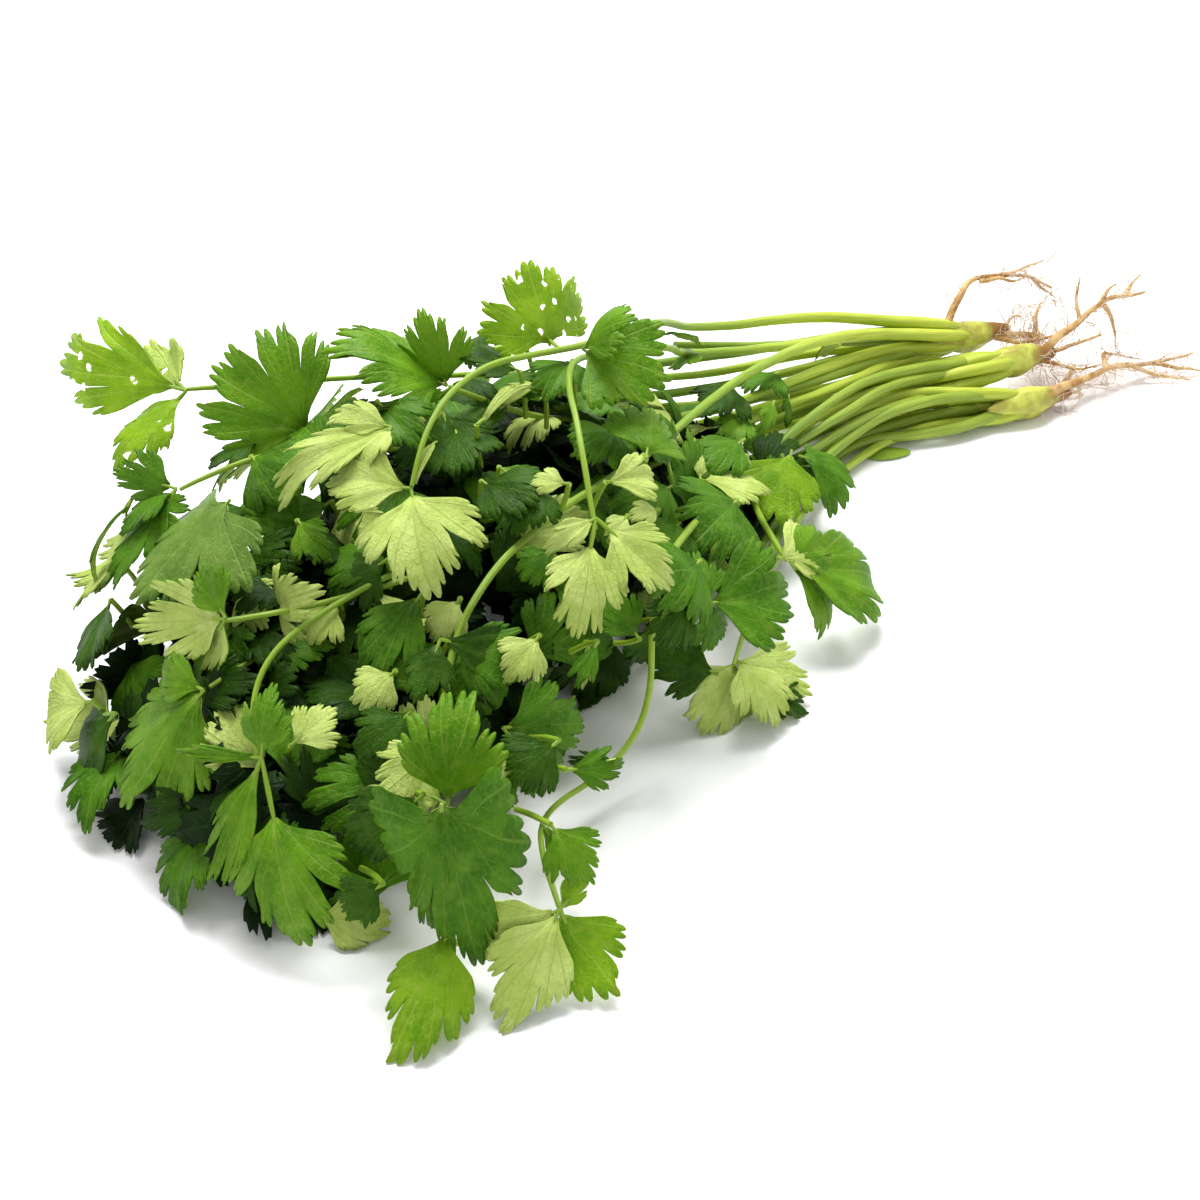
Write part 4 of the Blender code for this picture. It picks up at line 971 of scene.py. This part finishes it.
def tube_tree():
    """Geometry nodes that give a route its skin: a ribbed ring, swept with the route's radius."""
    nodes, given = growing_tree("ribbed_tube", "Route", {
        "Ribs": "Float", "Rib Depth": "Float", "Wobble": "Float", "Step": "Float", "Skin": "Material"})
    route = nodes.add("GeometryNodeResampleCurve", {"mode": "LENGTH"},
                      {"Curve": given.other("Route"), "Length": given.other("Step")})
    spine = nodes.add("GeometryNodeInputPosition")
    bend = nodes.add("ShaderNodeTexNoise", {"normalize": False},
                     {"Vector": spine, "Scale": 60.0, "Detail": 1.0}, output="Color")
    bend = nodes.add("ShaderNodeVectorMath", {"operation": "SCALE"},
                     {0: bend, "Scale": given.other("Wobble")})
    route = nodes.add("GeometryNodeSetPosition", None, {"Geometry": route, "Offset": bend})
    travelled = nodes.add("GeometryNodeSplineParameter", output="Length")
    route = nodes.add("GeometryNodeStoreNamedAttribute", {"data_type": "FLOAT", "domain": "POINT"},
                      {"Geometry": route, "Name": "along", "Value": travelled})
    ring = nodes.add("GeometryNodeCurvePrimitiveCircle", None, {"Resolution": 12, "Radius": 1.0})
    place = nodes.add("GeometryNodeInputPosition")
    ring = nodes.add("GeometryNodeStoreNamedAttribute", {"data_type": "FLOAT_VECTOR", "domain": "POINT"},
                     {"Geometry": ring, "Name": "ring", "Value": place})
    turn = nodes.add("GeometryNodeSplineParameter", output="Factor")
    rib = turn * given.other("Ribs") * math.tau
    swell = rib.combine("COSINE", rib) * given.other("Rib Depth") + 1.0
    grown = nodes.add("ShaderNodeVectorMath", {"operation": "SCALE"}, {0: place, "Scale": swell})
    ring = nodes.add("GeometryNodeSetPosition", None, {"Geometry": ring, "Position": grown})
    radius = nodes.add("GeometryNodeInputRadius")
    tube = nodes.add("GeometryNodeCurveToMesh", None,
                     {"Curve": route, "Profile Curve": ring, "Scale": radius, "Fill Caps": True})
    tube = nodes.add("GeometryNodeSetShadeSmooth", None, {"Geometry": tube})
    tube = nodes.add("GeometryNodeRealizeInstances", None, {"Geometry": tube})
    tube = nodes.add("GeometryNodeSetMaterial", None, {"Geometry": tube, "Material": given.other("Skin")})
    nodes.add("NodeGroupOutput", None, {"Geometry": tube})
    return nodes.tree


def smooth_line(points, step):
    """Even points and radii along a smooth curve through (place, radius) pairs."""
    knots = np.array([(*place, radius) for place, radius in points])
    gaps = np.linalg.norm(np.diff(knots[:, :3], axis=0), axis=1)
    slopes = np.diff(knots, axis=0) / gaps[:, None]
    weights = (gaps[:-1] + gaps[1:])[:, None]
    inner = (slopes[:-1] * gaps[1:, None] + slopes[1:] * gaps[:-1, None]) / weights
    tangents = np.vstack([slopes[:1], inner, slopes[-1:]])
    fine = []
    for i, gap in enumerate(gaps):
        for t in np.linspace(0, 1, max(2, round(gap / step)), endpoint=False):
            ends = (2 * t ** 3 - 3 * t ** 2 + 1) * knots[i] + (3 * t ** 2 - 2 * t ** 3) * knots[i + 1]
            turns = (t ** 3 - 2 * t ** 2 + t) * tangents[i] + (t ** 3 - t ** 2) * tangents[i + 1]
            fine.append(ends + turns * gap)
    return np.array(fine + [knots[-1]])


def eased(line, rounds):
    """A line with its small bends smoothed out. Its ends stay where they are."""
    line = line.copy()
    for _ in range(rounds):
        line[1:-1] = (line[:-2] + 2 * line[1:-1] + line[2:]) / 4
    return line


def route_object(name, lines):
    """A curve object with one spline for each line of (x, y, z, radius) rows."""
    curve = bpy.data.curves.new(name, "CURVE")
    curve.dimensions = "3D"
    for line in lines:
        spline = curve.splines.new("POLY")
        spline.points.add(len(line) - 1)
        spline.points.foreach_set("co", np.hstack([line[:, :3], np.ones((len(line), 1))]).ravel())
        spline.points.foreach_set("radius", line[:, 3])
    item = bpy.data.objects.new(name, curve)
    bpy.context.scene.collection.objects.link(item)
    return item


ribbed_tube = tube_tree()
green_stalk = stalk_skin("stalk_skin", STALK_FOOT, STALK_TOP)
# the second stalk skin is the darker painted-shade copy
painted_shade_stalk = stalk_skin("painted_shade_stalk_skin", SHADED_STALK_FOOT, SHADED_STALK_TOP)
STALK_LOOK = {"Ribs": 7.0, "Rib Depth": 0.035, "Wobble": 0.00025, "Step": 0.002, "Skin": green_stalk}
LINE_STEP = 0.002                 # between the points of a route
EASE_ROUNDS = 36                  # of smoothing, which take out a stalk's small bends
STALK_OVERLAP = 0.002             # a stalk's end runs on this far into the hub of its leaf
SLENDER_AT = ((-0.12, -0.06, 0.0, 0.06, 0.1), (0.6, 0.7, 0.85, 1.08, 1.2))     # X and share


def slenderness(place):
    """A stalk's swelling at its foot and its thinning in the heap, as a share of its radius."""
    return float(np.interp(place.x - SHIFT.x, *SLENDER_AT))


def nodes_named(start):
    return sorted(node for node in frame["nodes"] if node.startswith(start))


crowns = [middle_of(name) for name in nodes_named("crown")]


def route_from_crown(name):
    """The crown that a solid tube grows from, and its route from there."""
    reaches = [vertex.co for vertex in frame["nodes"][name].data.vertices]
    crown = min(crowns, key=lambda middle: min((co - middle).length for co in reaches))
    return crown, tube_route(name, crown)


for name in nodes_named("stalk"):
    crown, route = route_from_crown(name)
    # The foot leans in to the crown and narrows inside its sheath. The tip runs on into its leaf.
    route[0] = (route[0][0].lerp(crown, 0.25), route[0][1] * 0.9)
    route.insert(0, (crown.lerp(route[0][0], 0.3), route[0][1] * 0.5))
    way = (route[-1][0] - route[-2][0]).normalized()
    route.append((route[-1][0] + way * STALK_OVERLAP, route[-1][1] * 0.8))
    route = [(place, radius * slenderness(place)) for place, radius in route]
    line = eased(smooth_line(route, LINE_STEP), EASE_ROUNDS)
    stalk = run_tree(name + "_skin", route_object(name, [line]), ribbed_tube, STALK_LOOK)
    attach(stalk, "root")
    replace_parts(stalk, name)

# Thinner and younger stalks lie between the main ones. A row is the number of the crown that a
# stalk grows from and the points that it passes through.
YOUNG_STALKS = [
    (0, [(75, 6, 25), (45, 14, 29), (10, 20, 34), (-25, 26, 40)]),
    (0, [(70, 2, 19), (40, 4, 22), (0, 8, 26), (-40, 8, 34)]),
    (0, [(70, 12, 17), (40, 20, 18), (0, 26, 24), (-40, 30, 34)]),
    (1, [(75, -9, 18), (50, -4, 20), (20, -6, 20), (-20, -12, 16)]),
    (1, [(75, -14, 11), (45, -10, 13), (10, -10, 12), (-30, -14, 12)]),
    (1, [(70, -2, 11), (40, 6, 13), (0, 6, 16), (-40, 4, 24)]),
    (2, [(75, -20, 12), (52, -12, 12), (25, -12, 10), (-5, -20, 10), (-30, -28, 8)]),
    (2, [(70, -23, 4), (45, -9, 4), (15, -12, 4), (-25, -30, 10), (-55, -44, 12)]),
    (2, [(70, -14, 5), (40, -6, 5), (5, -3, 7), (-40, -6, 14)]),
    (2, [(65, -8, 9), (35, -1, 9), (0, 0, 12), (-40, 2, 22)]),
    (0, [(72, 10, 22), (50, 17, 26), (30, 22, 30), (4, 30, 36)]),
    (1, [(80, -12, 15), (60, -8, 17), (30, -8, 17), (-6, -6, 12)]),
]
YOUNG_RADIUS = (0.0019, 0.0014, 0.0011)     # at the foot, halfway and at the tip
young_lines = []
for crown, points in YOUNG_STALKS:
    places = [crowns[crown]] + [placed(point) for point in points]
    radii = np.interp(np.linspace(0, 1, len(places)), (0, 0.5, 1), YOUNG_RADIUS)
    young_lines.append(smooth_line(list(zip(places, radii)), LINE_STEP))
# Their skin is the darker painted-shade copy of the stalk's colours.
young_stalks = run_tree("young_stalks", route_object("young_stalks", young_lines), ribbed_tube,
                        {**STALK_LOOK, "Step": 0.0025, "Skin": painted_shade_stalk})
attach(young_stalks, "root")

# The necks of the leaflets are the thinnest tubes. Two more join a leaf to a leaf below it.
NECK_RADIUS = 0.00055
necks.append((Vector((-72, -3, 69)), Vector((-68, 6, 68))))
necks.append((Vector((-120, 19, 58)), Vector((-122, 22, 59))))
neck_lines = []
for start, end in necks:
    shares = ((start, 0.6), (start.lerp(end, 0.5), 0.9), (end, 0.6))
    neck_lines.append(np.array([(*placed(point), NECK_RADIUS * share) for point, share in shares]))
for points in stalklets:
    neck_lines.append(smooth_line([(placed(point), NECK_RADIUS) for point in points], LINE_STEP))
neck_piece = run_tree("leaf_necks", route_object("leaf_necks", neck_lines), ribbed_tube,
                      {**STALK_LOOK, "Wobble": 0.0, "Step": 0.0018})
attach(neck_piece, "root")


# ---- Crowns ---------------------------------------------------------------------------------
# Each plant's stalks meet in a crown: their fleshy sheaths wrap each other and narrow to a firm
# neck, yellow-green above and browned where the root begins.
CROWN_COLOURS = ((0.52, 0.56, 0.090), (0.36, 0.33, 0.055))
CROWN_BROWN = (0.29, 0.135, 0.032)
# Radius along a crown, from where its sheaths part to the top of its root, in mm.
CROWN_SHAPE = [(20, 0.6), (15, 2.6), (9, 4.3), (4, 5.0), (-1, 4.5), (-5, 3.5), (-9, 2.7), (-14, 1.9)]
CROWN_BROWN_AT = (0.0300, 0.0200)  # fully browned and not yet browned, in m along the crown


def crown_skin():
    material, nodes = new_finish("crown_skin")
    along = nodes.add("ShaderNodeAttribute", {"attribute_name": "along"}, output="Fac")
    patches = speckle(nodes, 160.0, 3.0)
    colour = nodes.blend(patches.fade(0.62, 0.4), *CROWN_COLOURS)
    burn = (along + patches * 0.012 - 0.006).fade(*CROWN_BROWN_AT)
    colour = nodes.blend(burn, colour, CROWN_BROWN)
    relief = speckle(nodes, 500.0, 3.0)
    normal = nodes.add("ShaderNodeBump", None, {"Strength": 0.6, "Distance": 0.0008, "Height": relief})
    shader = nodes.add("ShaderNodeBsdfPrincipled", None, {
        "Base Color": colour, "Roughness": 0.5, "Specular IOR Level": 0.3, "Normal": normal})
    nodes.add("ShaderNodeOutputMaterial", None, {"Surface": shader})
    return material


pale_crown = crown_skin()
CROWN_LOOK = {"Ribs": 5.0, "Rib Depth": 0.11, "Wobble": 0.0008, "Step": 0.0008, "Skin": pale_crown}
CROWN_WAY = Vector((-0.96, 0.26, 0.06)).normalized()     # from the roots towards the stalks
for name, middle in zip(nodes_named("crown"), crowns):
    rings = [(middle + CROWN_WAY * along * MM, radius * MM) for along, radius in CROWN_SHAPE]
    line = smooth_line(rings, 0.001)
    crown = run_tree(name + "_sheath", route_object(name, [line]), ribbed_tube, CROWN_LOOK)
    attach(crown, "root")
    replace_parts(crown, name)


# ---- Roots ----------------------------------------------------------------------------------
# Tough tan roots run out of the crowns and fork into thinner ones. Fine root hairs stand off
# them, some tan and some washed to a faint pinkish grey.
ROOT_COLOURS = ((0.62, 0.42, 0.190), (0.38, 0.20, 0.060))
HAIR_COLOURS = ((0.66, 0.50, 0.330), (0.52, 0.36, 0.200))
PALE_HAIR_COLOURS = ((0.80, 0.70, 0.640), (0.66, 0.54, 0.480))


def root_skin(name, colours, fine):
    material, nodes = new_finish(name)
    patches = speckle(nodes, fine, 3.0)
    colour = nodes.blend(patches.fade(0.62, 0.42), *colours)
    normal = nodes.add("ShaderNodeBump", None,
                       {"Strength": 0.6, "Distance": 0.0005, "Height": speckle(nodes, 900.0, 3.0)})
    shader = nodes.add("ShaderNodeBsdfPrincipled", None, {
        "Base Color": colour, "Roughness": 0.7, "Specular IOR Level": 0.2, "Normal": normal})
    nodes.add("ShaderNodeOutputMaterial", None, {"Surface": shader})
    return material


# A side root is its points, from the root that it leaves to its tip, in mm.
SIDE_ROOTS = [
    [(112, -3, 33), (117, -7, 34), (123, -10, 32), (128, -13, 33)],
    [(122, -6, 34), (129, -9, 34), (137, -12, 35)],
    [(131, -12, 31), (136, -12, 27), (139, -16, 23)],
    [(136, -27, 20), (139, -23, 26), (142, -22, 31)],
    [(147, -28, 22), (152, -27, 26), (156, -28, 27)],
    [(147, -28, 22), (150, -33, 15), (147, -37, 9)],
    [(156, -31.5, 23), (163, -30, 27), (169, -30, 28)],
    [(134, -40, 7), (142, -36, 8), (152, -36, 6), (160, -40, 3)],
    [(156, -46, 5), (164, -54, 3), (172, -60, 1)],
    [(147, -44, 6), (153, -50, 3), (160, -58, 1)],
    [(128, -16, 14), (136, -12, 18), (145, -10, 20)],
    [(118, -13, 17), (122, -10, 19), (130, -8, 18), (137, -7, 15)],
    [(126, -20, 9), (132, -15, 5), (140, -13, 2)],
    [(118, -31, 2), (125, -36, 2), (134, -33, 1)],
    [(112, -12, 17), (118, -18, 16), (124, -24, 17), (132, -28, 19)],
    [(113, -24, 13), (120, -29, 12), (128, -35, 9), (138, -40, 7)],
    [(114, -26, 12), (119, -22, 15), (126, -18, 15), (133, -18, 12)],
]
SIDE_ROOT_RADIUS = (0.0008, 0.00016)        # where it leaves its root and at its tip
ROOT_STEP = 0.0015                          # between the points of a root's route
# How far a root's foot is set over its crown, away from the start of its solid, in mm.
ROOT_LEAN = {"root_1": (-9, 4, 0)}
tan_root = root_skin("root_skin", ROOT_COLOURS, 140.0)
ROOT_LOOK = {"Ribs": 4.0, "Rib Depth": 0.14, "Wobble": 0.0016, "Step": 0.001, "Skin": tan_root}
root_lines = []
for name in nodes_named("root_"):
    crown, route = route_from_crown(name)
    lean = Vector(ROOT_LEAN.get(name, (0, 0, 0))) * MM
    last = len(route) - 1
    route = [(place + lean * (1 - i / last) ** 2, radius) for i, (place, radius) in enumerate(route)]
    # The root starts inside its crown, a little thicker.
    route.insert(0, (crown.lerp(route[0][0], 0.3), route[0][1] * 1.3))
    root_lines.append(smooth_line(route, ROOT_STEP))
    root = run_tree(name + "_bark", route_object(name, root_lines[-1:]), ribbed_tube, ROOT_LOOK)
    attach(root, "root")
    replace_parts(root, name)
side_lines = []
for points in SIDE_ROOTS:
    radii = np.linspace(*SIDE_ROOT_RADIUS, len(points))
    rings = [(placed(point), radius) for point, radius in zip(points, radii)]
    side_lines.append(smooth_line(rings, ROOT_STEP))
side_roots = run_tree("side_roots", route_object("side_roots", side_lines), ribbed_tube, ROOT_LOOK)
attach(side_roots, "root")


def hair_tree():
    """Geometry nodes that stand curly tapered hairs along a set of routes."""
    nodes, given = growing_tree("root_hairs", "Route", {
        "Step": "Float", "Hair Length": "Float", "Hair Radius": "Float", "Curl": "Float",
        "Seed": "Int", "Skin": "Material"})
    seed = given.other("Seed")
    spots = nodes.add("GeometryNodeCurveToPoints", {"mode": "LENGTH"},
                      {"Curve": given.other("Route"), "Length": given.other("Step")})
    lean = nodes.add("FunctionNodeRandomValue", {"data_type": "FLOAT_VECTOR"},
                     {0: (0.5, 0.0, -math.pi), 1: (1.8, 0.0, math.pi), "Seed": seed})
    lean = nodes.add("FunctionNodeEulerToRotation", None, {0: lean})
    lean = nodes.add("FunctionNodeRotateRotation", {"rotation_space": "LOCAL"},
                     {0: spots.other("Rotation"), 1: lean})
    length = given.other("Hair Length")
    size = nodes.add("FunctionNodeRandomValue", {"data_type": "FLOAT"},
                     {2: length * 0.35, 3: length, "Seed": seed}, output=1)
    hair = nodes.add("GeometryNodeCurvePrimitiveLine", None, {"Start": (0, 0, 0), "End": (0, 0, 1)})
    hair = nodes.add("GeometryNodeResampleCurve", {"mode": "COUNT"}, {"Curve": hair, "Count": 9})
    hairs = nodes.add("GeometryNodeInstanceOnPoints", None,
                      {"Points": spots, "Instance": hair, "Rotation": lean, "Scale": size})
    hairs = nodes.add("GeometryNodeRealizeInstances", None, {"Geometry": hairs})
    out = nodes.add("GeometryNodeSplineParameter", output="Factor")
    place = nodes.add("GeometryNodeInputPosition")
    twist = nodes.add("ShaderNodeTexNoise", {"normalize": False},
                      {"Vector": place, "Scale": 170.0, "Detail": 1.0}, output="Color")
    twist = nodes.add("ShaderNodeVectorMath", {"operation": "SCALE"},
                      {0: twist, "Scale": out * given.other("Curl")})
    hairs = nodes.add("GeometryNodeSetPosition", None, {"Geometry": hairs, "Offset": twist})
    place = nodes.add("GeometryNodeInputPosition")
    place = nodes.add("ShaderNodeSeparateXYZ", None, {0: place})
    height = place.other("Z").at_least(given.other("Hair Radius"))
    lifted = nodes.add("ShaderNodeCombineXYZ", None, {0: place, 1: place.other("Y"), 2: height})
    hairs = nodes.add("GeometryNodeSetPosition", None, {"Geometry": hairs, "Position": lifted})
    ring = nodes.add("GeometryNodeCurvePrimitiveCircle", None, {"Resolution": 5, "Radius": 1.0})
    slim = (1.0 - out * 0.7) * given.other("Hair Radius")
    hairs = nodes.add("GeometryNodeCurveToMesh", None,
                      {"Curve": hairs, "Profile Curve": ring, "Scale": slim, "Fill Caps": True})
    hairs = nodes.add("GeometryNodeRealizeInstances", None, {"Geometry": hairs})
    hairs = nodes.add("GeometryNodeSetMaterial", None, {"Geometry": hairs, "Material": given.other("Skin")})
    nodes.add("NodeGroupOutput", None, {"Geometry": hairs})
    return nodes.tree


root_hairs = hair_tree()
tan_hair = root_skin("hair_skin", HAIR_COLOURS, 300.0)
pale_hair = root_skin("pale_hair_skin", PALE_HAIR_COLOURS, 300.0)
# Hairs: name, step between them, length, radius, curl, seed, and skin.
HAIRS = [
    ("tan_hairs", 0.0032, 0.011, 0.00018, 0.008, 4, tan_hair),
    ("pale_hairs", 0.0020, 0.021, 0.00009, 0.016, 9, pale_hair),
]
for name, step, length, radius, curl, seed, skin in HAIRS:
    hairs = run_tree(name, route_object(name, root_lines + side_lines), root_hairs, {
        "Step": step, "Hair Length": length, "Hair Radius": radius,
        "Curl": curl, "Seed": seed, "Skin": skin})
    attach(hairs, "root")


# ---- Seed leaf ------------------------------------------------------------------------------
# One small, smooth-edged seed leaf lies flat beside the stalks, near the crowns. Its solid has
# the real one's shape, so it only gets a leaf's bright upper skin.
seed_leaf = frame["nodes"]["seed_leaf"]
seed_leaf.data.materials.clear()
seed_leaf.data.materials.append(tops["bright"])
